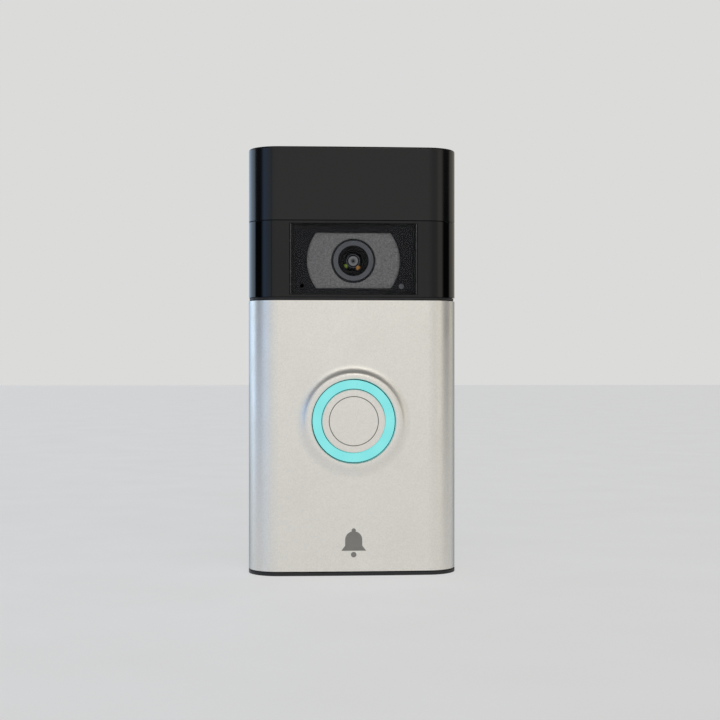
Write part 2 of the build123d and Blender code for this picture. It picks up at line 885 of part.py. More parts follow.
# Front lens with a domed face.
dome_front = lens_head_front - lens_dome_setback
dome_edge = dome_front - lens_dome_rise
with BuildPart() as front_lens:
    with BuildSketch(turning_plane(0, camera_z)):
        with BuildLine():
            Polyline(
                (0, dome_front),
                (0, front_lens_rear),
                (lens_bore_radius, front_lens_rear),
                (lens_bore_radius, dome_edge),
            )
            TangentArc((0, dome_front), (lens_bore_radius, dome_edge), tangent=(1, 0))
        make_face()
    revolve(axis=turning_axis(0, camera_z))
write_step(front_lens, "front_lens")

with BuildPart() as rear_lens:
    with BuildSketch(Plane.XZ.offset(rear_lens_rear)):
        with Locations((0, camera_z)):
            Circle(lens_bore_radius)
    extrude(amount=rear_lens_thickness)
write_step(rear_lens, "rear_lens")

with BuildPart() as image_sensor:
    with BuildSketch(Plane.XZ.offset(camera_board_front)):
        with Locations((0, camera_z)):
            Rectangle(image_sensor_width, image_sensor_height)
    extrude(amount=image_sensor_thickness)
write_step(image_sensor, "image_sensor")

with BuildPart() as camera_board:
    with BuildSketch(Plane.XZ.offset(camera_board_rear)):
        with Locations((0, camera_z)):
            Rectangle(holder_width, holder_height)
    extrude(amount=camera_board_thickness)
write_step(camera_board, "camera_board")

# Infrared lamps: four domed lamps on two narrow boards behind the fascia's cheeks.
with BuildPart() as infrared_lamps:
    with BuildSketch(Plane.XZ.offset(lamp_rear)):
        with Locations((0, camera_z)):
            with GridLocations(2 * infrared_x, infrared_pitch, 2, 2):
                Circle(infrared_radius)
    extrude(amount=infrared_length)
    fillet(infrared_lamps.faces().filter_by(Axis.Y).group_by(Axis.Y)[0].edges(), infrared_radius / 2)
write_step(infrared_lamps, "infrared_lamps")

with BuildPart() as infrared_boards:
    with BuildSketch(Plane.XZ.offset(infrared_board_rear)):
        with Locations((-infrared_x, camera_z), (infrared_x, camera_z)):
            Rectangle(infrared_board_width, infrared_board_height)
    extrude(amount=infrared_board_thickness)
write_step(infrared_boards, "infrared_boards")

# Light pipe that ends as the small dot beside the lens, and its sensor on the main board.
with BuildPart() as light_pipe:
    with BuildSketch(Plane.XZ.offset(board_front + chip_height)):
        with Locations((sensor_hole_x, small_hole_z)):
            Circle(light_pipe_radius)
    extrude(amount=core_front - bezel_setback - board_front - chip_height)
write_step(light_pipe, "light_pipe")

with BuildPart() as light_sensor:
    with BuildSketch(Plane.XZ.offset(board_front)):
        with Locations((sensor_hole_x, small_hole_z)):
            Rectangle(light_sensor_width, light_sensor_height)
    extrude(amount=chip_height)
write_step(light_sensor, "light_sensor")

# Microphone on the main board, and the rubber boot that leads sound to it.
with BuildPart() as microphone:
    with BuildSketch(Plane.XZ.offset(board_front)):
        with Locations((microphone_hole_x, small_hole_z)):
            Rectangle(microphone_size, microphone_size)
    extrude(amount=chip_height)
write_step(microphone, "microphone")

with BuildPart() as microphone_boot:
    with BuildSketch(Plane.XZ.offset(board_front + chip_height)):
        with Locations((microphone_hole_x, small_hole_z)):
            Circle(microphone_boot_radius)
            Circle(microphone_bore_radius, mode=Mode.SUBTRACT)
    extrude(amount=cavity_front - board_front - chip_height)
write_step(microphone_boot, "microphone_boot")

# ---------------------------------------------------------------- motion sensing
motion_points = [(-motion_pitch / 2, motion_z), (motion_pitch / 2, motion_z)]
motion_board_rear = board_front + motion_board_gap
motion_board_front = motion_board_rear + motion_board_thickness
with BuildPart() as motion_board:
    with BuildSketch(Plane.XZ.offset(motion_board_rear)):
        with Locations((0, motion_z)):
            Rectangle(motion_board_width, motion_board_height)
    extrude(amount=motion_board_thickness)
write_step(motion_board, "motion_board")

with BuildPart() as motion_sensors:
    with BuildSketch(Plane.XZ.offset(motion_board_front)):
        with Locations(*motion_points):
            Circle(motion_flange_radius)
    extrude(amount=motion_flange_height)
    with BuildSketch(Plane.XZ.offset(motion_board_front)):
        with Locations(*motion_points):
            Circle(motion_radius)
    extrude(amount=motion_can_height)
write_step(motion_sensors, "motion_sensors")

with BuildPart() as motion_shroud:
    with BuildSketch(Plane.XZ.offset(motion_board_front)):
        with Locations((0, motion_z)):
            Rectangle(motion_board_width, motion_board_height)
    extrude(amount=cavity_front - motion_board_front)
    with BuildSketch(Plane.XZ.offset(motion_board_front)):
        with Locations(*motion_points):
            Circle(shroud_bore_radius)
    extrude(
        amount=cavity_front - motion_board_front,
        taper=-shroud_flare_angle,
        mode=Mode.SUBTRACT,
    )
write_step(motion_shroud, "motion_shroud")

# ---------------------------------------------------------------- front button and light ring
# Carrier: a plug in the front wall with lamp windows, a guide bore and posts for the ring board.
with BuildPart() as button_carrier:
    with BuildSketch(Plane.XZ.offset(carrier_flange_rear)):
        with Locations((0, button_z)):
            Circle(carrier_flange_radius)
    extrude(amount=carrier_flange_thickness)
    with BuildSketch(Plane.XZ.offset(cavity_front)):
        with Locations((0, button_z)):
            Circle(carrier_radius)
    extrude(amount=core_wall)
    with BuildSketch(Plane.XZ.offset(ring_board_front)):
        with Locations((0, button_z)):
            with PolarLocations(carrier_post_circle, 4, start_angle=180 / led_count):
                Circle(carrier_post_radius)
    extrude(amount=carrier_flange_rear - ring_board_front)
    with BuildSketch(Plane.XZ.offset(ring_board_front)):
        with Locations((0, button_z)):
            with PolarLocations(carrier_post_circle, 4, start_angle=180 / led_count):
                Circle(ring_screw_radius)
    extrude(amount=ring_screw_length - ring_board_thickness, mode=Mode.SUBTRACT)
    with BuildSketch(Plane.XZ.offset(carrier_flange_rear)):
        with Locations((0, button_z)):
            Circle(stem_radius + stem_clearance)
            with PolarLocations(led_circle, led_count):
                Circle(led_window_radius)
    extrude(amount=carrier_flange_thickness + core_wall, mode=Mode.SUBTRACT)
write_step(button_carrier, "button_carrier")

# Light ring: a translucent annulus with rounded front edges.
with BuildPart() as light_ring:
    with BuildSketch(Plane.XZ.offset(core_front)):
        with Locations((0, button_z)):
            Circle(light_ring_radius)
            Circle(light_ring_inner, mode=Mode.SUBTRACT)
    extrude(amount=lip_front - light_ring_setback - core_front)
    fillet(light_ring.faces().sort_by(Axis.Y)[0].edges(), light_ring_round)
write_step(light_ring, "light_ring")

# Button cap with a fine circular groove, and a stem that carries the retaining clip.
button_front = lip_front - button_setback
button_underside = button_front - button_thickness
clip_rear = carrier_flange_rear - clip_play - clip_thickness
with BuildPart() as button_cap:
    with BuildSketch(Plane.XZ.offset(button_underside)):
        with Locations((0, button_z)):
            Circle(button_radius)
    extrude(amount=button_thickness)
    fillet(button_cap.faces().sort_by(Axis.Y)[0].edges(), button_edge_round)
    with BuildSketch(Plane.XZ.offset(stem_rear)):
        with Locations((0, button_z)):
            Circle(stem_radius)
    extrude(amount=button_underside - stem_rear)
    with BuildSketch(Plane.XZ.offset(clip_rear)):
        with Locations((0, button_z)):
            Circle(stem_radius)
            Circle(clip_groove_radius, mode=Mode.SUBTRACT)
    extrude(amount=clip_thickness, mode=Mode.SUBTRACT)
    with BuildSketch(Plane.XZ.offset(button_front - button_groove_depth)):
        with Locations((0, button_z)):
            Circle(button_groove_radius + button_groove_width / 2)
            Circle(button_groove_radius - button_groove_width / 2, mode=Mode.SUBTRACT)
    extrude(amount=button_groove_depth, mode=Mode.SUBTRACT)
write_step(button_cap, "button_cap")

# Retaining clip: an open ring snapped into the groove of the stem.
clip_gap_width = 2 * clip_groove_radius * math.sin(math.radians(clip_gap_angle / 2))
with BuildPart() as button_clip:
    with BuildSketch(Plane.XZ.offset(clip_rear)):
        with Locations((0, button_z)):
            Circle(clip_radius)
            Circle(clip_groove_radius, mode=Mode.SUBTRACT)
        with Locations((0, button_z - clip_radius)):
            Rectangle(clip_gap_width, 2 * clip_radius - clip_groove_radius, mode=Mode.SUBTRACT)
    extrude(amount=clip_thickness)
write_step(button_clip, "button_clip")

# Silicone boot between the carrier and the cap, which seals the stem and pushes the cap back out.
boot_inner_radius = stem_radius + boot_clearance
boot_outer_radius = button_radius - boot_inset
boot_front = button_underside - boot_clearance
with BuildPart() as button_boot:
    with BuildSketch(turning_plane(0, button_z)):
        Polygon(
            (boot_inner_radius, boot_front),
            (boot_inner_radius, boot_front - boot_wall),
            (boot_outer_radius - boot_bead_width, core_front),
            (boot_outer_radius, core_front),
            (boot_outer_radius, core_front + boot_wall),
            (boot_outer_radius - boot_bead_width, core_front + boot_wall),
            (boot_inner_radius + boot_bead_width, boot_front),
            align=None,
        )
    revolve(axis=turning_axis(0, button_z))
write_step(button_boot, "button_boot")

# Board under the ring, its lamps and its screws.
with BuildPart() as ring_board:
    with BuildSketch(Plane.XZ.offset(ring_board_rear)):
        with Locations((0, button_z)):
            Circle(ring_board_radius)
            with PolarLocations(carrier_post_circle, 4, start_angle=180 / led_count):
                Circle(ring_screw_radius + shank_clearance, mode=Mode.SUBTRACT)
    extrude(amount=ring_board_thickness)
write_step(ring_board, "ring_board")

with BuildPart() as ring_lamps:
    with BuildSketch(Plane.XZ.offset(ring_board_front)):
        with Locations((0, button_z)):
            with PolarLocations(led_circle, led_count):
                Rectangle(led_width, led_length)
    extrude(amount=led_height)
write_step(ring_lamps, "ring_lamps")

with BuildPart() as ring_board_screws:
    with BuildSketch(Plane.XZ.offset(ring_board_rear)):
        with Locations((0, button_z)):
            with PolarLocations(carrier_post_circle, 4, start_angle=180 / led_count):
                Circle(ring_screw_radius)
    extrude(amount=ring_screw_length)
    with BuildSketch(Plane.XZ.offset(ring_board_rear - ring_screw_head_height)):
        with Locations((0, button_z)):
            with PolarLocations(carrier_post_circle, 4, start_angle=180 / led_count):
                Circle(ring_screw_head_radius)
    extrude(amount=ring_screw_head_height)
write_step(ring_board_screws, "ring_board_screws")

# Switch on the ring board, and its plunger that follows the button's stem.
switch_front = ring_board_front + switch_height
with BuildPart() as button_switch:
    with BuildSketch(Plane.XZ.offset(ring_board_front)):
        with Locations((0, button_z)):
            Rectangle(switch_width, switch_width)
    extrude(amount=switch_height)
    with BuildSketch(Plane.XZ.offset(ring_board_front + switch_floor)):
        with Locations((0, button_z)):
            Circle(plunger_radius + plunger_clearance)
    extrude(amount=switch_height - switch_floor, mode=Mode.SUBTRACT)
write_step(button_switch, "button_switch")

with BuildPart() as button_plunger:
    with BuildSketch(Plane.XZ.offset(switch_front - plunger_entry)):
        with Locations((0, button_z)):
            Circle(plunger_radius)
    extrude(amount=stem_rear - switch_front + plunger_entry)
write_step(button_plunger, "button_plunger")

# ---------------------------------------------------------------- faceplate
# Satin metal shell with the raised lip round the button and the locking tab at the bottom.
tab_low = tab_z - tab_thickness / 2
lip_crest_radius = lip_inner_radius + lip_edge_round
lip_low = plate_front - lip_foot_drop
with BuildPart() as faceplate:
    with BuildSketch(Plane.XY.offset(plate_bottom)):
        add(plan_section(0, plate_front, plate_back))
        add(plan_section(plate_wall, plate_inside, plate_back), mode=Mode.SUBTRACT)
    extrude(amount=plate_top - plate_bottom)
    with BuildSketch(turning_plane(0, button_z)):
        with BuildLine():
            Polyline(
                (lip_foot_radius, lip_low),
                (lip_foot_radius, plate_inside + lip_back_drop),
                (lip_inner_radius, plate_inside + lip_back_drop),
                (lip_inner_radius, lip_front - lip_edge_round),
            )
            TangentArc(
                (lip_inner_radius, lip_front - lip_edge_round),
                (lip_crest_radius, lip_front),
                tangent=(0, 1),
            )
            Line((lip_crest_radius, lip_front), (lip_shoulder_radius, lip_front))
            Spline(
                (lip_shoulder_radius, lip_front),
                (lip_foot_radius, lip_low),
                tangents=[(1, 0), (1, -1)],
            )
        make_face()
    revolve(axis=turning_axis(0, button_z))
    with BuildSketch(Plane.XZ.offset(rear_depth)):
        with Locations((0, button_z)):
            Circle(lip_inner_radius)
    extrude(amount=lip_front - rear_depth, mode=Mode.SUBTRACT)
    # The lip blends into the face all round
    lip_foot = faceplate.edges().filter_by(
        lambda edge: lip_low < -edge.center(CenterOf.BOUNDING_BOX).Y < lip_front - lip_edge_round
        and lip_shoulder_radius < edge.bounding_box().size.Z / 2 < lip_foot_radius
    )
    fillet(lip_foot, lip_blend_radius)
    # Locking tab with a slot that is open to the rear
    with BuildSketch(Plane.XY.offset(tab_low)):
        with Locations((0, -(tab_rear + plate_inside + plate_wall / 2) / 2)):
            Rectangle(tab_width, plate_inside + plate_wall / 2 - tab_rear)
    extrude(amount=tab_thickness)
    slot_radius = security_radius + security_slot_clearance
    with BuildSketch(Plane.XY.offset(tab_low)):
        with Locations((0, -security_depth)):
            Circle(slot_radius)
        with Locations((0, -(security_depth + tab_rear) / 2)):
            Rectangle(2 * slot_radius, security_depth - tab_rear)
    extrude(amount=tab_thickness, mode=Mode.SUBTRACT)
    # Shallow recess for the emblem
    with BuildSketch(Plane.XZ.offset(plate_front - emblem_depth)):
        with Locations((0, emblem_z)):
            add(bell_outline())
    extrude(amount=emblem_depth, mode=Mode.SUBTRACT)
write_step(faceplate, "faceplate")

with BuildPart() as bell_emblem:
    with BuildSketch(Plane.XZ.offset(plate_front - emblem_depth)):
        with Locations((0, emblem_z)):
            add(bell_outline())
    extrude(amount=emblem_depth - emblem_setback)
write_step(bell_emblem, "bell_emblem")

# ---------------------------------------------------------------- main board
board_top = half_height - board_top_drop
board_bottom = cavity_bottom + board_bottom_rise
with BuildPart() as main_board:
    with BuildSketch(Plane.XZ.offset(board_rear)):
        with Locations((0, (board_top + board_bottom) / 2)):
            Rectangle(board_width, board_top - board_bottom)
        with Locations(*wall_screw_points):
            Circle(tunnel_radius + board_notch_clearance, mode=Mode.SUBTRACT)
        with Locations(*board_boss_points):
            Circle(board_screw_radius + shank_clearance, mode=Mode.SUBTRACT)
    extrude(amount=board_thickness)
write_step(main_board, "main_board")

with BuildPart() as board_screws:
    with BuildSketch(Plane.XZ.offset(board_rear)):
        with Locations(*board_boss_points):
            Circle(board_screw_radius)
    extrude(amount=board_thickness + board_screw_length)
    with BuildSketch(Plane.XZ.offset(board_rear - board_screw_head_height)):
        with Locations(*board_boss_points):
            Circle(board_screw_head_radius)
    extrude(amount=board_screw_head_height)
write_step(board_screws, "board_screws")

# Shield can over the processor: a thin box open to the board.
shield_z = plate_top - shield_drop
with BuildPart() as processor_shield:
    with BuildSketch(Plane.XZ.offset(board_front)):
        with Locations((0, shield_z)):
            Rectangle(shield_width, shield_height)
    extrude(amount=shield_thickness)
    with BuildSketch(Plane.XZ.offset(board_front)):
        with Locations((0, shield_z)):
            Rectangle(shield_width - 2 * shield_wall, shield_height - 2 * shield_wall)
    extrude(amount=shield_thickness - shield_wall, mode=Mode.SUBTRACT)
write_step(processor_shield, "processor_shield")

# Processor and memory: one chip under the shield, two on the back of the board.
with BuildPart() as board_chips:
    with BuildSketch(Plane.XZ.offset(board_front)):
        with Locations((0, shield_z)):
            Rectangle(chip_size, chip_size)
    extrude(amount=chip_height)
    with BuildSketch(Plane.XZ.offset(board_rear - chip_height)):
        with Locations((0, half_height - chip_drop)):
            with GridLocations(chip_pitch, 1, 2, 1):
                Rectangle(chip_size, chip_size)
    extrude(amount=chip_height)
write_step(board_chips, "board_chips")

# Plugs that join the main board to the ring, camera, motion and power boards.
with BuildPart() as board_plugs:
    with BuildSketch(Plane.XZ.offset(board_front)):
        with Locations((0, button_z - ring_plug_drop)):
            Rectangle(plug_width, plug_height)
    extrude(amount=ring_board_rear - board_front)
    with BuildSketch(Plane.XZ.offset(board_front)):
        with Locations((0, camera_z - holder_height / 2 + plug_height)):
            Rectangle(plug_width, plug_height)
    extrude(amount=camera_board_rear - board_front)
    with BuildSketch(Plane.XZ.offset(board_front)):
        with Locations((0, motion_z - motion_board_height / 2 + plug_height)):
            Rectangle(plug_width, plug_height)
    extrude(amount=motion_board_rear - board_front)
    with BuildSketch(Plane.XZ.offset(power_board_front)):
        with Locations((0, recess_z + power_board_height / 2 - plug_height)):
            Rectangle(plug_width, plug_height)
    extrude(amount=board_rear - power_board_front)
write_step(board_plugs, "board_plugs")

# Flat antenna under the top of the housing.
with BuildPart() as wifi_antenna:
    with BuildSketch(Plane.XY.offset(cavity_top - antenna_thickness)):
        with Locations((0, -antenna_start - antenna_length / 2)):
            Rectangle(antenna_width, antenna_length)
    extrude(amount=antenna_thickness)
write_step(wifi_antenna, "wifi_antenna")

# ---------------------------------------------------------------- speaker
speaker_front = cavity_front - speaker_gasket_thickness
speaker_rear = speaker_front - speaker_height
with BuildPart() as speaker_gasket:
    with BuildSketch(Plane.XZ.offset(speaker_front)):
        with Locations((0, speaker_z)):
            Circle(speaker_radius)
            Circle(speaker_radius - speaker_gasket_width, mode=Mode.SUBTRACT)
    extrude(amount=speaker_gasket_thickness)
write_step(speaker_gasket, "speaker_gasket")

with BuildPart() as speaker_frame:
    with BuildSketch(Plane.XZ.offset(speaker_rear)):
        with Locations((0, speaker_z)):
            Circle(speaker_radius)
    extrude(amount=speaker_height)
    with BuildSketch(Plane.XZ.offset(speaker_rear + speaker_wall)):
        with Locations((0, speaker_z)):
            Circle(speaker_radius - speaker_wall)
    extrude(amount=speaker_height - speaker_wall, mode=Mode.SUBTRACT)
    with BuildSketch(Plane.XZ.offset(speaker_rear)):
        with Locations((0, speaker_z)):
            Circle(magnet_radius)
    extrude(amount=speaker_wall, mode=Mode.SUBTRACT)
write_step(speaker_frame, "speaker_frame")

# Paper cone: a thin funnel with its wide end at the front.
cone_front = speaker_front - cone_thickness
with BuildPart() as speaker_cone:
    with BuildSketch(turning_plane(0, speaker_z)):
        Polygon(
            (cone_outer_radius, cone_front),
            (cone_outer_radius, cone_front + cone_thickness),
            (cone_inner_radius, cone_front + cone_thickness - cone_depth),
            (0, cone_front + cone_thickness - cone_depth + cone_thickness),
            (0, cone_front - cone_depth + cone_thickness),
            (cone_inner_radius, cone_front - cone_depth),
            align=None,
        )
    revolve(axis=turning_axis(0, speaker_z))
write_step(speaker_cone, "speaker_cone")

with BuildPart() as speaker_magnet:
    with BuildSketch(Plane.XZ.offset(speaker_rear - magnet_proud)):
        with Locations((0, speaker_z)):
            Circle(magnet_radius)
    extrude(amount=magnet_length)
write_step(speaker_magnet, "speaker_magnet")

# ---------------------------------------------------------------- battery
with BuildPart() as battery_pack:
    with BuildSketch(Plane.XZ.offset(battery_back)):
        with Locations((0, battery_z)):
            Rectangle(battery_width, battery_height)
    extrude(amount=battery_thickness)
    fillet(battery_pack.edges().filter_by(Axis.Z), battery_round)
write_step(battery_pack, "battery_pack")

with BuildPart() as battery_foam:
    with BuildSketch(Plane.XZ.offset(rear_wall)):
        with Locations((0, battery_z)):
            Rectangle(
                battery_width - 2 * battery_foam_border,
                battery_height - 2 * battery_foam_border,
            )
    extrude(amount=battery_foam_thickness)
write_step(battery_foam, "battery_foam")

battery_middle = battery_back + battery_thickness / 2
with BuildPart() as battery_board:
    with BuildSketch(Plane.XY.offset(battery_top)):
        with Locations((0, -battery_middle)):
            Rectangle(battery_board_width, battery_board_depth)
    extrude(amount=battery_board_height)
write_step(battery_board, "battery_board")

# Plug on the back of the main board, and the two wires that run to it from the battery.
plug_bottom = battery_top + battery_plug_drop
plug_middle = board_rear - battery_plug_thickness / 2
with BuildPart() as battery_plug:
    with BuildSketch(Plane.XZ.offset(board_rear - battery_plug_thickness)):
        with Locations((0, plug_bottom + battery_plug_height / 2)):
            Rectangle(battery_plug_width, battery_plug_height)
    extrude(amount=battery_plug_thickness)
write_step(battery_plug, "battery_plug")

with BuildPart() as battery_wires:
    for wire_x in (-wire_pitch / 2, wire_pitch / 2):
        with BuildLine() as wire_route:
            FilletPolyline(
                (wire_x, -battery_middle, battery_top + battery_board_height),
                (wire_x, -battery_middle, (battery_top + plug_bottom) / 2 + battery_board_height / 2),
                (wire_x, -plug_middle, (battery_top + plug_bottom) / 2 + battery_board_height / 2),
                (wire_x, -plug_middle, plug_bottom),
                radius=wire_bend_radius,
            )
        with BuildSketch(Plane.XY.offset(battery_top + battery_board_height)):
            with Locations((wire_x, -battery_middle)):
                Circle(wire_radius)
        sweep(path=wire_route.line)
write_step(battery_wires, "battery_wires")

# ---------------------------------------------------------------- wiring recess at the back
terminal_points = [(-terminal_pitch / 2, terminal_z), (terminal_pitch / 2, terminal_z)]
with BuildPart() as terminal_plates:
    with BuildSketch(Plane.XZ.offset(recess_depth - terminal_plate_thickness)):
        with Locations(*terminal_points):
            Rectangle(terminal_plate_size, terminal_plate_size)
            Circle(terminal_radius, mode=Mode.SUBTRACT)
    extrude(amount=terminal_plate_thickness)
write_step(terminal_plates, "terminal_plates")

terminal_head_front = recess_depth - terminal_plate_thickness
with BuildPart() as terminal_screws:
    with BuildSketch(Plane.XZ.offset(terminal_head_front)):
        with Locations(*terminal_points):
            Circle(terminal_radius)
    extrude(amount=power_board_rear - terminal_head_front)
    with BuildSketch(Plane.XZ.offset(terminal_head_front - terminal_head_height)):
        with Locations(*terminal_points):
            Circle(terminal_head_radius)
    extrude(amount=terminal_head_height)
    with BuildSketch(Plane.XZ.offset(terminal_head_front - terminal_head_height)):
        with Locations(*terminal_points):
            add(cross_recess(terminal_radius, cross_slot_width))
    extrude(amount=cross_slot_depth, mode=Mode.SUBTRACT)
write_step(terminal_screws, "terminal_screws")

with BuildPart() as power_board:
    with BuildSketch(Plane.XZ.offset(power_board_rear)):
        with Locations((0, recess_z)):
            Rectangle(power_board_width, power_board_height)
        with Locations(*power_post_points):
            Circle(power_peg_radius, mode=Mode.SUBTRACT)
    extrude(amount=power_board_thickness)
write_step(power_board, "power_board")

# Charging socket: a flattened metal sleeve with the contact tongue inside.
with BuildPart() as charging_socket:
    with BuildSketch(Plane.XZ.offset(socket_mouth_depth)):
        with Locations((-lower_row_x, lower_row_z)):
            RectangleRounded(socket_width, socket_height, socket_height / 4)
    extrude(amount=power_board_rear - socket_mouth_depth)
    with BuildSketch(Plane.XZ.offset(socket_mouth_depth)):
        with Locations((-lower_row_x, lower_row_z)):
            RectangleRounded(
                socket_width - 2 * socket_wall, socket_height - 2 * socket_wall, socket_height / 8
            )
    extrude(amount=power_board_rear - socket_mouth_depth - socket_wall, mode=Mode.SUBTRACT)
    with BuildSketch(Plane.XZ.offset(socket_mouth_depth + socket_tongue_setback)):
        with Locations((-lower_row_x, lower_row_z)):
            Rectangle(socket_tongue_width, socket_tongue_height)
    extrude(amount=power_board_rear - socket_mouth_depth - socket_tongue_setback)
write_step(charging_socket, "charging_socket")

# Setup button behind the floor of the recess, its switch and the switch's plunger.
setup_flange_depth = recess_depth + recess_wall + setup_flange_gap
setup_rear = setup_flange_depth + setup_flange_thickness
with BuildPart() as setup_button:
    with BuildSketch(Plane.XZ.offset(recess_depth - setup_proud)):
        with Locations((lower_row_x, lower_row_z)):
            Circle(setup_radius)
    extrude(amount=setup_flange_depth - recess_depth + setup_proud)
    fillet(setup_button.faces().sort_by(Axis.Y)[-1].edges(), button_edge_round)
    with BuildSketch(Plane.XZ.offset(setup_flange_depth)):
        with Locations((lower_row_x, lower_row_z)):
            Circle(setup_flange_radius)
    extrude(amount=setup_flange_thickness)
write_step(setup_button, "setup_button")

setup_switch_rear = power_board_rear - switch_height
with BuildPart() as setup_switch:
    with BuildSketch(Plane.XZ.offset(setup_switch_rear)):
        with Locations((lower_row_x, lower_row_z)):
            Rectangle(switch_width, switch_width)
    extrude(amount=switch_height)
    with BuildSketch(Plane.XZ.offset(setup_switch_rear)):
        with Locations((lower_row_x, lower_row_z)):
            Circle(plunger_radius + plunger_clearance)
    extrude(amount=switch_height - switch_floor, mode=Mode.SUBTRACT)
write_step(setup_switch, "setup_switch")

with BuildPart() as setup_plunger:
    with BuildSketch(Plane.XZ.offset(setup_rear)):
        with Locations((lower_row_x, lower_row_z)):
            Circle(plunger_radius)
    extrude(amount=setup_switch_rear + setup_plunger_entry - setup_rear)
write_step(setup_plunger, "setup_plunger")
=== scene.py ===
"""A slim video doorbell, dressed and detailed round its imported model.

Lengths are in metres, X runs to the right, Z up, and the front faces -Y.
The origin is the middle of the back face. Each sub-assembly is a class that
builds its detailed pieces and dresses its nodes, and each finish is a class
that makes one material.
"""

from __future__ import annotations

import json
import logging
import math
import random
from collections.abc import Callable, Iterator, Mapping, Sequence
from contextlib import contextmanager
from dataclasses import dataclass, replace
from enum import Enum

import bmesh
import bpy
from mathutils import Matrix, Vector
from mathutils.bvhtree import BVHTree

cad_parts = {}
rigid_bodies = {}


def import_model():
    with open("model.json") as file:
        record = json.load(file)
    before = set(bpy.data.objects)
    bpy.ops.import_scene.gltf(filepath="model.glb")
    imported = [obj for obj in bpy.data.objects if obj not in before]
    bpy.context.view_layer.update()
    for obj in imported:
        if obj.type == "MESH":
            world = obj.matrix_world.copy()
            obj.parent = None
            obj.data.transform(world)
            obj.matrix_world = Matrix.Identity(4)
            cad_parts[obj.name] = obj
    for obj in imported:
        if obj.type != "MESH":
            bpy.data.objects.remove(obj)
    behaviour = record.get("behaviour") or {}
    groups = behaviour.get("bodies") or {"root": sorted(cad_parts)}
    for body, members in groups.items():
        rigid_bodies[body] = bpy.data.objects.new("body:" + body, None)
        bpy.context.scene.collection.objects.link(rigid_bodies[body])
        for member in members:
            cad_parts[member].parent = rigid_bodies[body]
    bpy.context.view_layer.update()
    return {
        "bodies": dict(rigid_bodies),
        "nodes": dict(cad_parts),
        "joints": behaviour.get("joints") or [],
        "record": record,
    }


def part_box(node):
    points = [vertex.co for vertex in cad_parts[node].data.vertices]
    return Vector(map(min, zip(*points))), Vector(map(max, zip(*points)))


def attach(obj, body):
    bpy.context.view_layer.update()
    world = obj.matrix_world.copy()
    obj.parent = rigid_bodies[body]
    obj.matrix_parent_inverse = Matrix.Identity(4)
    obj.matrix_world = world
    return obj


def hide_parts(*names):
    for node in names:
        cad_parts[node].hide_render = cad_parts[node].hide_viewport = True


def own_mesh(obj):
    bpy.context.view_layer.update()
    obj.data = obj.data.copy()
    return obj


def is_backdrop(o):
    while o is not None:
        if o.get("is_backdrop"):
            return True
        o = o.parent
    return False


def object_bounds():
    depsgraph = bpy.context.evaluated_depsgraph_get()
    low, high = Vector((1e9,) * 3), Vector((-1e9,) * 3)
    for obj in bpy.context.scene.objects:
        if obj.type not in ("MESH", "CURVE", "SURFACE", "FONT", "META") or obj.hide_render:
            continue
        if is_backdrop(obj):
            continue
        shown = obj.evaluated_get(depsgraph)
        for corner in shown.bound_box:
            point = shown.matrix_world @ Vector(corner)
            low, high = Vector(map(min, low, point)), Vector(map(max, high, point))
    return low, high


Tree = bpy.types.NodeTree
Source = bpy.types.NodeSocket | bpy.types.Node
Piece = bpy.types.Object

LOG = logging.getLogger("doorbell")
MM = 0.001
QUARTER_TURN = math.radians(90)
TURNED_FACETS = 96
MERGE_MM = 0.001

# Places of the sockets on a Mix node that mixes colours
MIX_FACTOR, MIX_A, MIX_B, MIX_RESULT = 0, 6, 7, 2
# Values between which a noise mostly stays
NOISE_LOW, NOISE_HIGH = 0.3, 0.7
# Points on the forward axes of the button and the lens
BUTTON_AXIS_MM = (0.0, 0.0, -17.7)
LENS_AXIS_MM = (0.0, 0.0, 29.7)


# ------------------------------------------------------------------ node trees
def linear(sheet_colour: str) -> tuple[float, float, float, float]:
    """Turns an sRGB colour to the linear values that Blender works in.

    Args:
        sheet_colour: six hex digits.

    Returns:
        The linear red, green and blue, and an alpha of 1.
    """
    channels = (int(sheet_colour[i : i + 2], 16) / 255 for i in (0, 2, 4))
    red, green, blue = (
        c / 12.92 if c <= 0.04045 else ((c + 0.055) / 1.055) ** 2.4 for c in channels
    )
    return red, green, blue, 1.0


def add_node(
    tree: Tree,
    kind: str,
    settings: Mapping[str | int, object] | None = None,
    links: Mapping[str | int, Source] | None = None,
    stops: Sequence[tuple[float, str]] = (),
) -> bpy.types.Node:
    """Adds one node with its settings and links.

    Args:
        tree: the node tree that gets the node.
        kind: the node's type, without the ShaderNode that starts them all.
        settings: input sockets by name or number, or attributes, with values.
        links: input sockets by name or number, with the outputs that feed
            them, or with nodes whose first output does.
        stops: a ramp's places from 0 to 1 and their colours, in order.

    Returns:
        The new node.
    """
    node = tree.nodes.new(f"ShaderNode{kind}")
    for key, value in (settings or {}).items():
        if isinstance(key, str) and key not in node.inputs:
            setattr(node, key, value)
    for key, value in (settings or {}).items():
        if isinstance(key, int) or key in node.inputs:
            node.inputs[key].default_value = value
    for key, source in (links or {}).items():
        feed = source.outputs[0] if isinstance(source, bpy.types.Node) else source
        tree.links.new(feed, node.inputs[key])
    if stops:
        elements = node.color_ramp.elements
        while len(elements) < len(stops):
            elements.new(1.0)
        for element, (position, colour) in zip(elements, stops):
            element.position = position
            element.color = linear(colour)
    return node


def radius_output(
    tree: Tree, place: Source, centre_mm: tuple[float, float, float]
) -> Source:
    """Gives the distance from an axis that points forward.

    Args:
        tree: the material's node tree.
        place: the object coordinates.
        centre_mm: a point on the axis, in millimetres.

    Returns:
        The distance's output, in metres.
    """
    settings = {
        "Location": (-centre_mm[0] * MM, 0.0, -centre_mm[2] * MM),
        "Scale": (1.0, 0.0, 1.0),
    }
    flat = add_node(tree, "Mapping", settings, {0: place})
    length = add_node(tree, "VectorMath", {"operation": "LENGTH"}, {0: flat})
    return length.outputs["Value"]


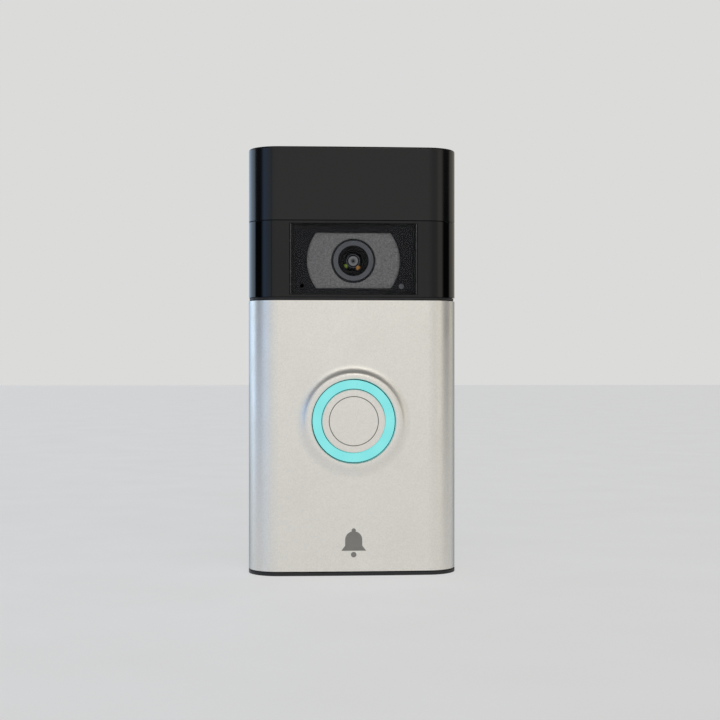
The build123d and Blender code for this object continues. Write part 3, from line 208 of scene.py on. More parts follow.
# -------------------------------------------------------------------- finishes
class Texture(Enum):
    """How the surface was made, which sets its relief."""

    POLISHED = "polished"
    SATIN = "satin"
    ERODED = "spark-eroded"
    BRUSHED = "brushed"
    TURNED = "turned"
    FIBROUS = "fibrous"
    FOAMED = "foamed"


@dataclass(frozen=True)
class Finish:
    """A material: what it is, how its surface was made, and how it varies."""

    name: str
    colour: str
    second_colour: str
    roughness: float
    texture: Texture = Texture.SATIN
    metallic: float = 0.0
    ior: float = 1.5
    mottle_mm: float = 6.0
    mottle_share: float = 0.5
    grain_mm: float = 0.4
    relief_mm: float = 0.01
    streak_grains: float = 30.0
    roughness_swing: float = 0.06
    coat: float = 0.0
    glow: float = 0.0
    edge_tint: str = "FFFFFF"
    turning_centre_mm: tuple[float, float, float] = (0.0, 0.0, 0.0)

    def material(self) -> bpy.types.Material:
        """Makes the material, or returns it if it is already made.

        Returns:
            The material.
        """
        made = bpy.data.materials.get(self.name)
        if made:
            return made
        made = bpy.data.materials.new(self.name)
        made.use_nodes = True
        tree = made.node_tree
        tree.nodes.clear()
        place = add_node(tree, "TexCoord").outputs["Object"]
        add_node(tree, "OutputMaterial", links={"Surface": self.shader(tree, place)})
        return made

    def shader(self, tree: Tree, place: Source) -> Source:
        """Builds the shader.

        Args:
            tree: the material's nodes.
            place: the object coordinates.

        Returns:
            The shader.
        """
        settings = {
            "Metallic": self.metallic,
            "Coat Weight": self.coat,
            "Specular Tint": linear(self.edge_tint),
            "Emission Strength": self.glow,
        }
        if self.metallic < 0.5:
            settings["IOR"] = self.ior
        colour = self.colour_output(tree, place)
        links = {
            "Base Color": colour,
            "Roughness": self.roughness_output(tree, place),
            "Normal": self.relief_output(tree, place),
        }
        if self.glow:
            links["Emission Color"] = self.glow_output(tree, place, colour)
        return add_node(tree, "BsdfPrincipled", settings, links)

    def glow_output(self, tree: Tree, place: Source, colour: Source) -> Source:
        """Gives the colour of the light that a lit surface sends out."""
        return colour

    def colour_output(self, tree: Tree, place: Source) -> Source:
        """Builds the colour, which drifts between two tones.

        Args:
            tree: the material's nodes.
            place: the object coordinates.

        Returns:
            The colour.
        """
        settings = {"Scale": 1 / (self.mottle_mm * MM), "Detail": 3.0, "Roughness": 0.55}
        mottle = add_node(tree, "TexNoise", settings, {"Vector": place})
        settings = {
            "From Min": NOISE_LOW,
            "From Max": NOISE_HIGH,
            "To Max": self.mottle_share,
        }
        share = add_node(tree, "MapRange", settings, {"Value": mottle})
        settings = {
            "data_type": "RGBA",
            MIX_A: linear(self.colour),
            MIX_B: linear(self.second_colour),
        }
        return add_node(tree, "Mix", settings, {MIX_FACTOR: share}).outputs[MIX_RESULT]

    def roughness_output(self, tree: Tree, place: Source) -> Source:
        """Builds the roughness, which swings a little with handling.

        Args:
            tree: the material's nodes.
            place: the object coordinates.

        Returns:
            The roughness.
        """
        settings = {"Scale": 2 / (self.mottle_mm * MM), "Detail": 4.0}
        wear = add_node(tree, "TexNoise", settings, {"Vector": place})
        settings = {
            "From Min": NOISE_LOW,
            "From Max": NOISE_HIGH,
            "To Min": max(self.roughness - self.roughness_swing, 0.01),
            "To Max": self.roughness + self.roughness_swing,
        }
        return add_node(tree, "MapRange", settings, {"Value": wear})

    def relief_output(self, tree: Tree, place: Source) -> Source:
        """Builds the relief that the surface's making left.

        Args:
            tree: the material's nodes.
            place: the object coordinates.

        Returns:
            The normal.
        """
        scale = 1 / (self.grain_mm * MM)
        if self.texture in (Texture.BRUSHED, Texture.TURNED):
            place = self.stretched(tree, place)
            scale = 1.0
        kind = "TexNoise"
        settings: dict[str | int, object] = {"Scale": scale, "Detail": 2.0}
        if self.texture in (Texture.ERODED, Texture.FOAMED):
            kind = "TexVoronoi"
            settings = {"Scale": scale, "feature": "SMOOTH_F1", "Smoothness": 0.5}
        elif self.texture is Texture.FIBROUS:
            settings.update({"Detail": 6.0, "Distortion": 1.5})
        height = add_node(tree, kind, settings, {"Vector": place})
        settings = {"Strength": 1.0, "Distance": self.relief_mm * MM}
        return add_node(tree, "Bump", settings, {"Height": height})

    def stretched(self, tree: Tree, place: Source) -> Source:
        """Stretches the grain along X, or round an axis that points forward.

        Args:
            tree: the material's nodes.
            place: the object coordinates.

        Returns:
            The coordinates for the grain, counted in grains.
        """
        fine = 1 / (self.grain_mm * MM)
        if self.texture is Texture.BRUSHED:
            settings = {"Scale": (fine / self.streak_grains, fine, fine)}
            return add_node(tree, "Mapping", settings, {0: place})
        radius = radius_output(tree, place, self.turning_centre_mm)
        settings = {"operation": "MULTIPLY", 1: fine}
        rings = add_node(tree, "Math", settings, {0: radius})
        return add_node(tree, "CombineXYZ", None, {"X": rings})


@dataclass(frozen=True)
class MetalPaint(Finish):
    """A sprayed paint with metal flakes, a little uneven from flake to flake.

    A groove turned in the face gets painted shade: a ring of darker colour stands for the
    shadow in the groove.
    """

    flake_mm: float = 0.35
    flake_swing: float = 0.05
    groove_mm: float = 0.0
    groove_width_mm: float = 0.24
    # colour of the painted shade in the groove
    groove_shade_colour: str = "6E6B66"

    def colour_output(self, tree: Tree, place: Source) -> Source:
        """Builds the colour with its flakes and the painted shade in its groove.

        Args:
            tree: the material's nodes.
            place: the object coordinates.

        Returns:
            The colour.
        """
        base = super().colour_output(tree, place)
        settings = {"Scale": 1 / (self.flake_mm * MM)}
        flakes = add_node(tree, "TexVoronoi", settings, {"Vector": place})
        settings = {"To Min": 1 - self.flake_swing, "To Max": 1 + self.flake_swing}
        grey = add_node(tree, "MapRange", settings, {"Value": flakes.outputs["Color"]})
        settings = {"data_type": "RGBA", "blend_type": "MULTIPLY", MIX_FACTOR: 1.0}
        links = {MIX_A: base, MIX_B: grey}
        paint = add_node(tree, "Mix", settings, links).outputs[MIX_RESULT]
        if not self.groove_mm:
            return paint
        # Painted shade: the colour turns dark in a ring at the groove's radius, standing for
        # the shadow in the groove
        radius = radius_output(tree, place, self.turning_centre_mm)
        settings = {
            "operation": "COMPARE",
            1: self.groove_mm * MM,
            2: self.groove_width_mm / 2 * MM,
        }
        inside = add_node(tree, "Math", settings, {0: radius})
        settings = {"data_type": "RGBA", MIX_B: linear(self.groove_shade_colour)}
        links = {MIX_FACTOR: inside, MIX_A: paint}
        return add_node(tree, "Mix", settings, links).outputs[MIX_RESULT]


@dataclass(frozen=True)
class LitRing(Finish):
    """Milky polycarbonate lit from behind by lamps that stand in a circle."""

    glow: float = 0.9
    lit_colour: str = "84E8E8"
    bright_colour: str = "89EBEA"
    lamps: int = 8

    def glow_output(self, tree: Tree, place: Source, colour: Source) -> Source:
        """Builds the colour of the light, a little brighter over each lamp.

        Args:
            tree: the material's nodes.
            place: the object coordinates.
            colour: the surface's own colour; not used.

        Returns:
            The light's colour.
        """
        centre = self.turning_centre_mm
        settings = {"Location": (-centre[0] * MM, 0.0, -centre[2] * MM)}
        middle = add_node(tree, "Mapping", settings, {0: place})
        split = add_node(tree, "SeparateXYZ", None, {0: middle}).outputs
        links = {0: split["X"], 1: split["Z"]}
        turn = add_node(tree, "Math", {"operation": "ARCTAN2"}, links)
        settings = {"operation": "MULTIPLY", 1: float(self.lamps)}
        beat = add_node(tree, "Math", settings, {0: turn})
        wave = add_node(tree, "Math", {"operation": "COSINE"}, {0: beat})
        settings = {"From Min": -1.0, "From Max": 1.0}
        share = add_node(tree, "MapRange", settings, {"Value": wave})
        stops = ((0.0, self.lit_colour), (1.0, self.bright_colour))
        return add_node(tree, "ValToRGB", None, {"Fac": share}, stops)


@dataclass(frozen=True)
class CoatedLens(Finish):
    """Coated glass over dark elements, seen as rings of different darkness; the pale rings and
    two coloured glints are painted reflections.
    """

    rim_mm: float = 3.0
    # Painted reflections: the pale rings stand for light mirrored by the inner elements; the
    # dark ones are the black inside
    rings: tuple[tuple[float, str], ...] = (
        (0.0, "0A0B0D"), (0.32, "0C0D10"), (0.40, "8F8F8D"), (0.60, "4E4E50"),
        (0.72, "A3A29E"), (1.35, "B2B1AD"), (1.52, "101114"), (1.84, "0A0A0C"),
        (1.92, "8C8D90"), (2.04, "0A0A0C"),
    )
    # Painted glints: coloured spots where the coating would mirror the lamps, each an offset
    # from the axis and a colour
    painted_glints: tuple[tuple[float, float, str], ...] = (
        (-2.35, -1.55, "C0DC58"),
        (1.54, -2.05, "FFB45C"),
    )
    glint_radius_mm: float = 0.8
    glint_strength: float = 2.5

    def colour_output(self, tree: Tree, place: Source) -> Source:
        """Builds the painted reflections: the rings and the two coloured glints of the coating.

        Args:
            tree: the material's nodes.
            place: the object coordinates.

        Returns:
            The colour.
        """
        centre = self.turning_centre_mm
        settings = {"operation": "DIVIDE", 1: self.rim_mm * MM}
        share = add_node(tree, "Math", settings, {0: radius_output(tree, place, centre)})
        stops = [(mm / self.rim_mm, colour) for mm, colour in self.rings]
        colour = add_node(tree, "ValToRGB", None, {"Fac": share}, stops)
        # Paints each glint in as colour, strongest at its spot and gone at its radius
        for x_mm, z_mm, tint in self.painted_glints:
            spot = (centre[0] + x_mm, 0.0, centre[2] + z_mm)
            away = radius_output(tree, place, spot)
            settings = {
                "From Max": self.glint_radius_mm * MM,
                "To Min": self.glint_strength,
                "To Max": 0.0,
            }
            near = add_node(tree, "MapRange", settings, {"Value": away})
            settings = {"data_type": "RGBA", MIX_B: linear(tint)}
            links = {MIX_FACTOR: near, MIX_A: colour}
            colour = add_node(tree, "Mix", settings, links).outputs[MIX_RESULT]
        return colour


@dataclass(frozen=True)
class ClearPane(Finish):
    """Clear acrylic that mirrors a little of what is in front of it."""

    def shader(self, tree: Tree, place: Source) -> Source:
        """Builds the shader.

        Args:
            tree: the material's nodes.
            place: the object coordinates.

        Returns:
            The shader.
        """
        normal = self.relief_output(tree, place)
        mirror = add_node(tree, "Fresnel", {"IOR": self.ior}, {"Normal": normal})
        links = {"Color": self.colour_output(tree, place)}
        through = add_node(tree, "BsdfTransparent", None, links)
        links = {"Roughness": self.roughness_output(tree, place), "Normal": normal}
        gloss = add_node(tree, "BsdfAnisotropic", None, links)
        return add_node(tree, "MixShader", None, {0: mirror, 1: through, 2: gloss})


@dataclass(frozen=True)
class CircuitLaminate(Finish):
    """Solder resist on glass laminate, with copper tracks and pads under it."""

    track_colour: str = "3E8A4C"
    track_mm: float = 2.4
    track_share: float = 0.05
    pad_colour: str = "B9A15E"
    pad_mm: float = 3.1
    pad_share: float = 0.13

    def colour_output(self, tree: Tree, place: Source) -> Source:
        """Builds the resist with its tracks and pads.

        Args:
            tree: the material's nodes.
            place: the object coordinates.

        Returns:
            The colour.
        """
        resist = super().colour_output(tree, place)
        tracks = (self.track_mm, "MANHATTAN", "DISTANCE_TO_EDGE", self.track_share)
        pads = (self.pad_mm, "EUCLIDEAN", "F1", self.pad_share)
        layers = ((tracks, self.track_colour), (pads, self.pad_colour))
        for (spacing_mm, metric, feature, limit), colour in layers:
            settings = {
                "feature": feature,
                "distance": metric,
                "Scale": 1 / (spacing_mm * MM),
                "Randomness": 0.7,
            }
            cells = add_node(tree, "TexVoronoi", settings, {"Vector": place})
            settings = {"operation": "LESS_THAN", 1: limit}
            inside = add_node(tree, "Math", settings, {0: cells.outputs["Distance"]})
            settings = {"data_type": "RGBA", MIX_B: linear(colour)}
            links = {MIX_FACTOR: inside, MIX_A: resist}
            resist = add_node(tree, "Mix", settings, links).outputs[MIX_RESULT]
        return resist


# Black ABS from a finely eroded mould: an even, dull black
SHELL = Finish(
    "abs_black_eroded", "19191A", "222223", 0.52, Texture.ERODED, grain_mm=0.35, relief_mm=0.03,
)
# Polyethylene cover: a smooth, half-dull black that lets body heat through
COVER = Finish(
    "polyethylene_black_satin", "080809", "0B0B0C", 0.17, ior=1.44, mottle_mm=15.0,
    grain_mm=0.6, relief_mm=0.004, roughness_swing=0.01,
)
# Polished black acrylic: deep black with soft mirror images
FASCIA = Finish(
    "acrylic_black_polished", "060607", "08080A", 0.06, Texture.POLISHED, ior=1.4,
    mottle_mm=12.0, grain_mm=5.0, relief_mm=0.004, roughness_swing=0.02,
)
# Clear acrylic over the camera; its anti-glare coat mirrors like a lower IOR
PANE = ClearPane(
    "acrylic_clear_polished", "F2F3F5", "EEEFF2", 0.03, Texture.POLISHED, ior=1.17,
    mottle_mm=20.0, grain_mm=6.0, relief_mm=0.003, roughness_swing=0.01,
)
# Nickel-coloured paint sprayed on ABS; its 0.05 mm flakes are drawn 0.35 mm
# wide so that they show
NICKEL = MetalPaint(
    "nickel_paint_sprayed", "F4F1EA", "F0ECE5", 0.35, metallic=0.9, mottle_mm=18.0,
    grain_mm=0.5, relief_mm=0.008, roughness_swing=0.03, edge_tint="7C92A4",
)
# The same paint on the button's cap, with painted shade in its turned groove
CAP_NICKEL = replace(
    NICKEL,
    name="nickel_paint_groove_shaded",
    turning_centre_mm=BUTTON_AXIS_MM,
    groove_mm=7.24,
)
# Grey ink, printed by pad
INK = Finish(
    "ink_grey_pad_printed", "918E88", "86837D", 0.5, mottle_mm=2.0, grain_mm=0.3,
    relief_mm=0.01,
)
# Grey ABS from a coarse eroded mould round the lens
BEZEL = Finish(
    "abs_grey_eroded", "85817B", "BFBBB5", 0.42, Texture.ERODED, mottle_mm=0.5,
    mottle_share=0.8, grain_mm=0.4, relief_mm=0.12,
)
# Black anodised aluminium, turned
BARREL = Finish(
    "aluminium_black_anodised_turned", "141416", "1D1D20", 0.34, Texture.TURNED, metallic=0.7,
    mottle_mm=3.0, grain_mm=0.35, relief_mm=0.02, turning_centre_mm=LENS_AXIS_MM,
)
# Grey anodised aluminium, turned: the lens's front ring
LENS_RING = Finish(
    "aluminium_grey_anodised_turned", "77787A", "828385", 0.45, Texture.TURNED, metallic=0.2,
    mottle_mm=3.0, grain_mm=0.3, relief_mm=0.015, turning_centre_mm=LENS_AXIS_MM,
)
# Coated optical glass, polished: near black, with pale rings painted in as reflections of the
# inner elements and two coloured glints painted in as reflections in the coating
LENS_GLASS = CoatedLens(
    "glass_coated_polished", "0A0A0C", "0C0C10", 0.05, Texture.POLISHED, ior=1.25, grain_mm=4.0,
    relief_mm=0.001, roughness_swing=0.01, turning_centre_mm=LENS_AXIS_MM,
)
# Clear acrylic rod that shows grey from outside
LIGHT_PIPE = Finish(
    "acrylic_frosted_rod", "8D8E90", "7C7D80", 0.4, ior=1.49, mottle_mm=1.0, grain_mm=0.2,
    relief_mm=0.01,
)
# Milky polycarbonate, moulded, over eight lamps
RING_LIGHT = LitRing(
    "polycarbonate_milky_lit", "123433", "102F2E", 0.32, ior=1.58, mottle_mm=5.0, grain_mm=0.6,
    relief_mm=0.004, turning_centre_mm=BUTTON_AXIS_MM,
)
# Black nylon, moulded
NYLON = Finish(
    "nylon_black_moulded", "202021", "2A2A2B", 0.45, ior=1.53, mottle_mm=4.0, grain_mm=0.4,
    relief_mm=0.012,
)
# Dark epoxy with a dusty matt surface
EPOXY = Finish(
    "epoxy_black_moulded", "1F1F20", "2D2D2E", 0.6, Texture.ERODED, ior=1.55, mottle_mm=1.5,
    grain_mm=0.2, relief_mm=0.01,
)
# Natural nylon of plugs
CREAM_NYLON = Finish(
    "nylon_natural_moulded", "DED5BE", "D2C8AE", 0.42, ior=1.53, mottle_mm=2.0, grain_mm=0.3,
    relief_mm=0.01,
)
# Silicone rubber with bloom
RUBBER = Finish(
    "silicone_black_moulded", "1B1B1B", "262626", 0.62, ior=1.41, mottle_mm=3.0, grain_mm=0.25,
    relief_mm=0.015,
)
# Open foam with visible cells
FOAM = Finish(
    "polyurethane_foam_cut", "242425", "343435", 0.9, Texture.FOAMED, mottle_mm=0.8,
    mottle_share=0.9, grain_mm=0.7, relief_mm=0.15,
)
# Red insulation, extruded
WIRE = Finish(
    "pvc_red_extruded", "9E1B16", "8A1612", 0.38, ior=1.53, mottle_mm=3.0, grain_mm=0.5,
    relief_mm=0.006,
)
# Green solder resist over copper and glass cloth
LAMINATE = CircuitLaminate(
    "laminate_green_resist", "0F4A28", "0C3F22", 0.32, ior=1.55, mottle_mm=9.0, grain_mm=0.6,
    relief_mm=0.01,
)
# Yellowish cast resin of the lamps
RESIN = Finish(
    "epoxy_resin_cast", "C9C19A", "D8D2B4", 0.16, Texture.POLISHED, ior=1.55, mottle_mm=1.5,
    grain_mm=1.5, relief_mm=0.004, coat=0.4,
)
# Dark cast resin that passes infrared only
DARK_RESIN = Finish(
    "epoxy_resin_smoked_cast", "15101A", "1D1522", 0.14, Texture.POLISHED, ior=1.55,
    mottle_mm=1.5, grain_mm=1.5, relief_mm=0.004, coat=0.4,
)
# Zinc-plated steel, turned and rolled
STEEL = Finish(
    "steel_zinc_plated", "B4B6B8", "A2A5AA", 0.3, Texture.BRUSHED, metallic=1.0, mottle_mm=1.5,
    grain_mm=0.12, relief_mm=0.006,
)
# Tinned sheet of shields, cans and the socket
TINPLATE = Finish(
    "steel_tinned_rolled", "A9AAAA", "989A9B", 0.34, Texture.BRUSHED, metallic=1.0,
    mottle_mm=3.0, grain_mm=0.2, relief_mm=0.005,
)
# Brass of the terminals, stamped and lacquered
BRASS = Finish(
    "brass_stamped", "C6A35B", "B08C49", 0.32, Texture.BRUSHED, metallic=1.0, mottle_mm=2.0,
    grain_mm=0.15, relief_mm=0.006,
)
# Pressed paper pulp with visible fibres
PAPER = Finish(
    "paper_pulp_pressed", "37322C", "453F37", 0.85, Texture.FIBROUS, mottle_mm=1.2,
    mottle_share=0.8, grain_mm=0.5, relief_mm=0.06,
)
# Blue shrink film drawn tight over the cells
WRAP = Finish(
    "pvc_film_blue_shrunk", "1C4C86", "184377", 0.22, Texture.POLISHED, ior=1.53, mottle_mm=7.0,
    grain_mm=7.0, relief_mm=0.08,
)
# Orange ABS, moulded
ORANGE = Finish(
    "abs_orange_moulded", "E0591B", "D24F14", 0.4, mottle_mm=3.0, grain_mm=0.3, relief_mm=0.01,
)
# Woven polyester behind the grille
CLOTH = Finish(
    "polyester_black_woven", "1A1A1B", "2C2C2D", 0.8, Texture.FOAMED, mottle_mm=0.5,
    mottle_share=0.9, grain_mm=0.3, relief_mm=0.05,
)
# Gold flash on contacts
GOLD = Finish(
    "gold_plated_contacts", "D8B25A", "C79F48", 0.26, Texture.BRUSHED, metallic=1.0,
    mottle_mm=1.0, grain_mm=0.1, relief_mm=0.003,
)
# Opal acrylic lit evenly from below: the studio's pale floor
FLOOR = Finish(
    "acrylic_opal_lit_table", "949494", "929291", 0.75, ior=1.49, mottle_mm=60.0, grain_mm=2.0,
    relief_mm=0.05, glow=1.9,
)
# Black ink on the rear of the pane, with a trace of violet
MASK_INK = Finish(
    "ink_black_screen_printed", "09080E", "0C0B12", 0.5, ior=1.3, mottle_mm=3.0, grain_mm=1.2,
    relief_mm=0.004,
)
# Grey beads at the pane's sides: a painted reflection, a thin grey line at each side that
# stands for the sheen on the pane's side edges
EDGE_SHEEN = Finish(
    "acrylic_bead_painted_sheen", "3A3A3C", "2E2E30", 0.25, Texture.POLISHED, ior=1.48, mottle_mm=4.0,
    grain_mm=1.5, relief_mm=0.01,
)
# Velvet-black paint that swallows stray light inside the lens
FLOCK = Finish(
    "paint_black_flocked", "050505", "080808", 0.85, Texture.FIBROUS, ior=1.3, mottle_mm=0.6,
    grain_mm=0.2, relief_mm=0.02,
)


# ------------------------------------------------------------------- modelling
def select_only(*pieces: Piece) -> None:
    """Selects pieces and nothing else, and makes the first one active.

    Args:
        pieces: the pieces.
    """
    bpy.ops.object.select_all(action="DESELECT")
    for piece in pieces:
        piece.select_set(True)
    bpy.context.view_layer.objects.active = pieces[0]


@contextmanager
def editing(piece: Piece) -> Iterator[None]:
    """Opens a piece in edit mode and closes it again.

    Args:
        piece: the piece.

    Yields:
        Nothing.
    """
    select_only(piece)
    bpy.ops.object.mode_set(mode="EDIT")
    yield
    bpy.ops.object.mode_set(mode="OBJECT")


def primitive(name: str, adder: Callable[..., set], **settings: object) -> Piece:
    """Adds a primitive that later steps shape.

    Args:
        name: the piece's name.
        adder: the operator that adds the primitive.
        settings: the operator's settings.

    Returns:
        The new piece.
    """
    bpy.ops.object.select_all(action="DESELECT")
    adder(**settings)
    piece = bpy.context.view_layer.objects.active
    piece.name = piece.data.name = name
    return piece


def pick_faces(piece: Piece, wanted: Callable[[Vector], bool]) -> None:
    """Selects the faces whose middle passes a test, in edit mode.

    Args:
        piece: the piece, which lies at the origin.
        wanted: the test.
    """
    bpy.ops.mesh.select_mode(type="FACE")
    bpy.ops.mesh.select_all(action="DESELECT")
    mesh = bmesh.from_edit_mesh(piece.data)
    for face in mesh.faces:
        face.select = wanted(face.calc_center_median())
    mesh.select_flush_mode()
    bmesh.update_edit_mesh(piece.data)


def settle(piece: Piece, smooth_degrees: float = 35.0) -> None:
    """Applies a piece's modifiers and place, and shades it.

    Args:
        piece: the piece.
        smooth_degrees: the sharpest angle that is shaded smooth.
    """
    select_only(piece)
    for modifier in list(piece.modifiers):
        bpy.ops.object.modifier_apply(modifier=modifier.name)
    bpy.ops.object.transform_apply(location=True, rotation=True, scale=True)
    bpy.ops.object.shade_smooth_by_angle(angle=math.radians(smooth_degrees))


def turned(
    name: str, centre: tuple[float, float], profile: Sequence[tuple[float, float]], hollow: bool
) -> Piece:
    """Models a turned piece by extruding and scaling a circle along a profile.

    Args:
        name: the piece's name.
        centre: the axis's X and Z, in metres.
        profile: each step's radius and depth in front of the wall, in millimetres.
        hollow: whether the last step meets the first round a bore.

    Returns:
        The piece, not yet settled.
    """
    radius, depth = (value * MM for value in profile[0])
    piece = primitive(
        name,
        bpy.ops.mesh.primitive_circle_add,
        vertices=TURNED_FACETS,
        radius=radius,
        fill_type="NOTHING",
        location=(centre[0], -depth, centre[1]),
        rotation=(QUARTER_TURN, 0, 0),
    )
    with editing(piece):
        bpy.ops.mesh.select_all(action="SELECT")
        for step_radius, step_depth in profile[1:]:
            move = (0, depth - step_depth * MM, 0)
            bpy.ops.mesh.extrude_edges_move(TRANSFORM_OT_translate={"value": move})
            depth = step_depth * MM
            share = step_radius * MM / radius
            bpy.ops.transform.resize(
                value=(share, 1, share), center_override=(centre[0], -depth, centre[1])
            )
            radius = step_radius * MM
        bpy.ops.mesh.select_mode(type="EDGE")
        bpy.ops.mesh.select_all(action="DESELECT")
        bpy.ops.mesh.select_non_manifold()
        if hollow:
            bpy.ops.mesh.bridge_edge_loops()
        else:
            bpy.ops.mesh.fill_holes(sides=0)
        bpy.ops.mesh.select_all(action="SELECT")
        bpy.ops.mesh.remove_doubles(threshold=MERGE_MM * MM)
        bpy.ops.mesh.normals_make_consistent(inside=False)
    return piece


def axis_of(name: str) -> tuple[float, float]:
    """Gives the X and Z of a node's middle, where its forward axis is."""
    low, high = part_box(name)
    return (low.x + high.x) / 2, (low.z + high.z) / 2


def joined(name: str, parts: Sequence[Piece]) -> Piece:
    """Joins pieces that are all of one kind.

    Args:
        name: the joined piece's name.
        parts: the pieces.

    Returns:
        The joined piece.
    """
    select_only(*parts)
    bpy.ops.object.join()
    parts[0].name = parts[0].data.name = name
    return parts[0]


def add_piece(piece: Piece, finish: Finish) -> None:
    """Dresses a finished piece and ties it to the housing.

    Args:
        piece: the piece.
        finish: its finish.
    """
    if not piece.data.materials:
        piece.data.materials.append(finish.material())
    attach(piece, "housing")
    LOG.info("%s rides on the housing in %s", piece.name, finish.name)


# ---------------------------------------------------------------- sub-assemblies
@dataclass
class Assembly:
    """A sub-assembly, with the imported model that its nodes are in."""

    frame: Mapping[str, object]

    def dress(self, finish: Finish, *names: str) -> None:
        """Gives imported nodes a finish.

        Args:
            finish: their finish.
            names: the nodes.
        """
        for name in names:
            for slot in self.frame["nodes"][name].material_slots:
                slot.material = finish.material()
            LOG.info("%s is dressed in %s", name, finish.name)


@dataclass
class Housing(Assembly):
    """The two moulded halves of the body, their seal and their screws."""

    def build(self) -> None:
        """Dresses the body's halves and fasteners."""
        self.dress(SHELL, "rear_housing", "front_housing")
        self.dress(RUBBER, "housing_gasket")
        self.dress(STEEL, "housing_screws", "security_screw")


@dataclass
class CameraSection(Assembly):
    """The black upper front: cover, fascia, window, bezel and what is behind."""

    seal_width_mm: float = 1.1
    mask_gap_mm: float = 0.05
    mask_setback_mm: float = 0.025
    mask_thickness_mm: float = 0.06
    bezel_overlap_mm: float = 0.05
    holes_mm: tuple[tuple[str, float], ...] = (("light_pipe", 0.75), ("microphone", 0.6))
    hole_spare_mm: float = 0.1
    hole_facets: int = 32
    bezel_facets: int = 128
    cutter_middle_mm: float = 25.5
    cutter_length_mm: float = 4.0
    bead_width_mm: float = 0.34
    bead_offset_mm: float = 0.1
    bead_round_share: float = 0.3
    bead_round_segments: int = 3
    bead_depths_mm: tuple[float, float] = (26.68, 26.93)

    def build(self) -> None:
        """Models the window's print and the grey beads of painted reflection at its sides, and
        dresses the upper front.
        """
        self.build_mask()
        self.build_beads()
        self.dress(COVER, "sensor_cover")
        self.dress(FASCIA, "camera_fascia")
        self.dress(PANE, "camera_window")
        self.dress(RUBBER, "window_seal", "microphone_boot")
        self.dress(BEZEL, "camera_bezel")
        self.dress(LIGHT_PIPE, "light_pipe")
        self.dress(EPOXY, "light_sensor", "microphone")
        self.dress(DARK_RESIN, "infrared_lamps")
        self.dress(LAMINATE, "infrared_boards", "motion_board")
        self.dress(NYLON, "motion_shroud")
        self.dress(TINPLATE, "motion_sensors")

    def build_mask(self) -> None:
        """Models the black print on the pane's rear, open over the bezel."""
        low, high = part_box("camera_window")
        inset = (self.seal_width_mm + self.mask_gap_mm) * MM
        depth = self.mask_thickness_mm * MM
        middle = (low + high) / 2
        middle.y = high.y + self.mask_setback_mm * MM + depth / 2
        mask = primitive(
            "window_mask",
            bpy.ops.mesh.primitive_cube_add,
            size=1,
            location=middle,
            scale=(high.x - low.x - 2 * inset, depth, high.z - low.z - 2 * inset),
        )
        bpy.ops.object.transform_apply(location=True, rotation=True, scale=True)
        cutters = [self.bezel_cutter()]
        for name, radius_mm in self.holes_mm:
            radius = (radius_mm + self.hole_spare_mm) * MM
            cutters.append(self.cutter(name, radius, self.hole_facets))
        for cutter in cutters:
            hole = mask.modifiers.new(cutter.name, "BOOLEAN")
            hole.object = cutter
            hole.operation = "DIFFERENCE"
        settle(mask)
        for cutter in cutters:
            bpy.data.objects.remove(cutter)
        add_piece(mask, MASK_INK)

    def cutter(self, name: str, radius: float, facets: int) -> Piece:
        """Models the round solid that cuts the print in front of a node.

        Args:
            name: the node.
            radius: the solid's radius, in metres.
            facets: the number of its sides.

        Returns:
            The cutter.
        """
        low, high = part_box(name)
        middle = (low + high) / 2
        middle.y = -self.cutter_middle_mm * MM
        return primitive(
            f"{name}_cutter",
            bpy.ops.mesh.primitive_cylinder_add,
            vertices=facets,
            radius=radius,
            depth=self.cutter_length_mm * MM,
            location=middle,
            rotation=(QUARTER_TURN, 0, 0),
        )

    def bezel_cutter(self) -> Piece:
        """Models the solid that cuts the bezel's outline, flat at top and bottom.

        Returns:
            The cutter.
        """
        low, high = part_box("camera_bezel")
        spare = self.bezel_overlap_mm * MM
        radius = (high.x - low.x) / 2 - spare
        cutter = self.cutter("camera_bezel", radius, self.bezel_facets)
        bpy.ops.object.transform_apply(location=True, rotation=True, scale=True)
        with editing(cutter):
            for edge, side in ((high.z - spare, 1), (low.z + spare, -1)):
                bpy.ops.mesh.select_all(action="SELECT")
                bpy.ops.mesh.bisect(
                    plane_co=(0, 0, edge),
                    plane_no=(0, 0, side),
                    use_fill=True,
                    clear_outer=True,
                )
        return cutter

    def build_beads(self) -> None:
        """Models the two grey beads at the sides of the pane, whose grey is a painted
        reflection of its side edges.
        """
        low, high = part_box("camera_window")
        width = self.bead_width_mm * MM
        rear, front = (-depth * MM for depth in self.bead_depths_mm)
        beads = []
        for edge, side in ((low.x, -1), (high.x, 1)):
            bead = primitive(
                "window_side_sheen_bead",
                bpy.ops.mesh.primitive_cube_add,
                size=1,
                location=(
                    edge + side * self.bead_offset_mm * MM,
                    (rear + front) / 2,
                    (low.z + high.z) / 2,
                ),
                scale=(width, rear - front, high.z - low.z),
            )
            rounded = bead.modifiers.new("rounded", "BEVEL")
            rounded.width = width * self.bead_round_share
            rounded.segments = self.bead_round_segments
            settle(bead, 60.0)
            beads.append(bead)
        add_piece(joined("window_side_sheen_beads", beads), EDGE_SHEEN)


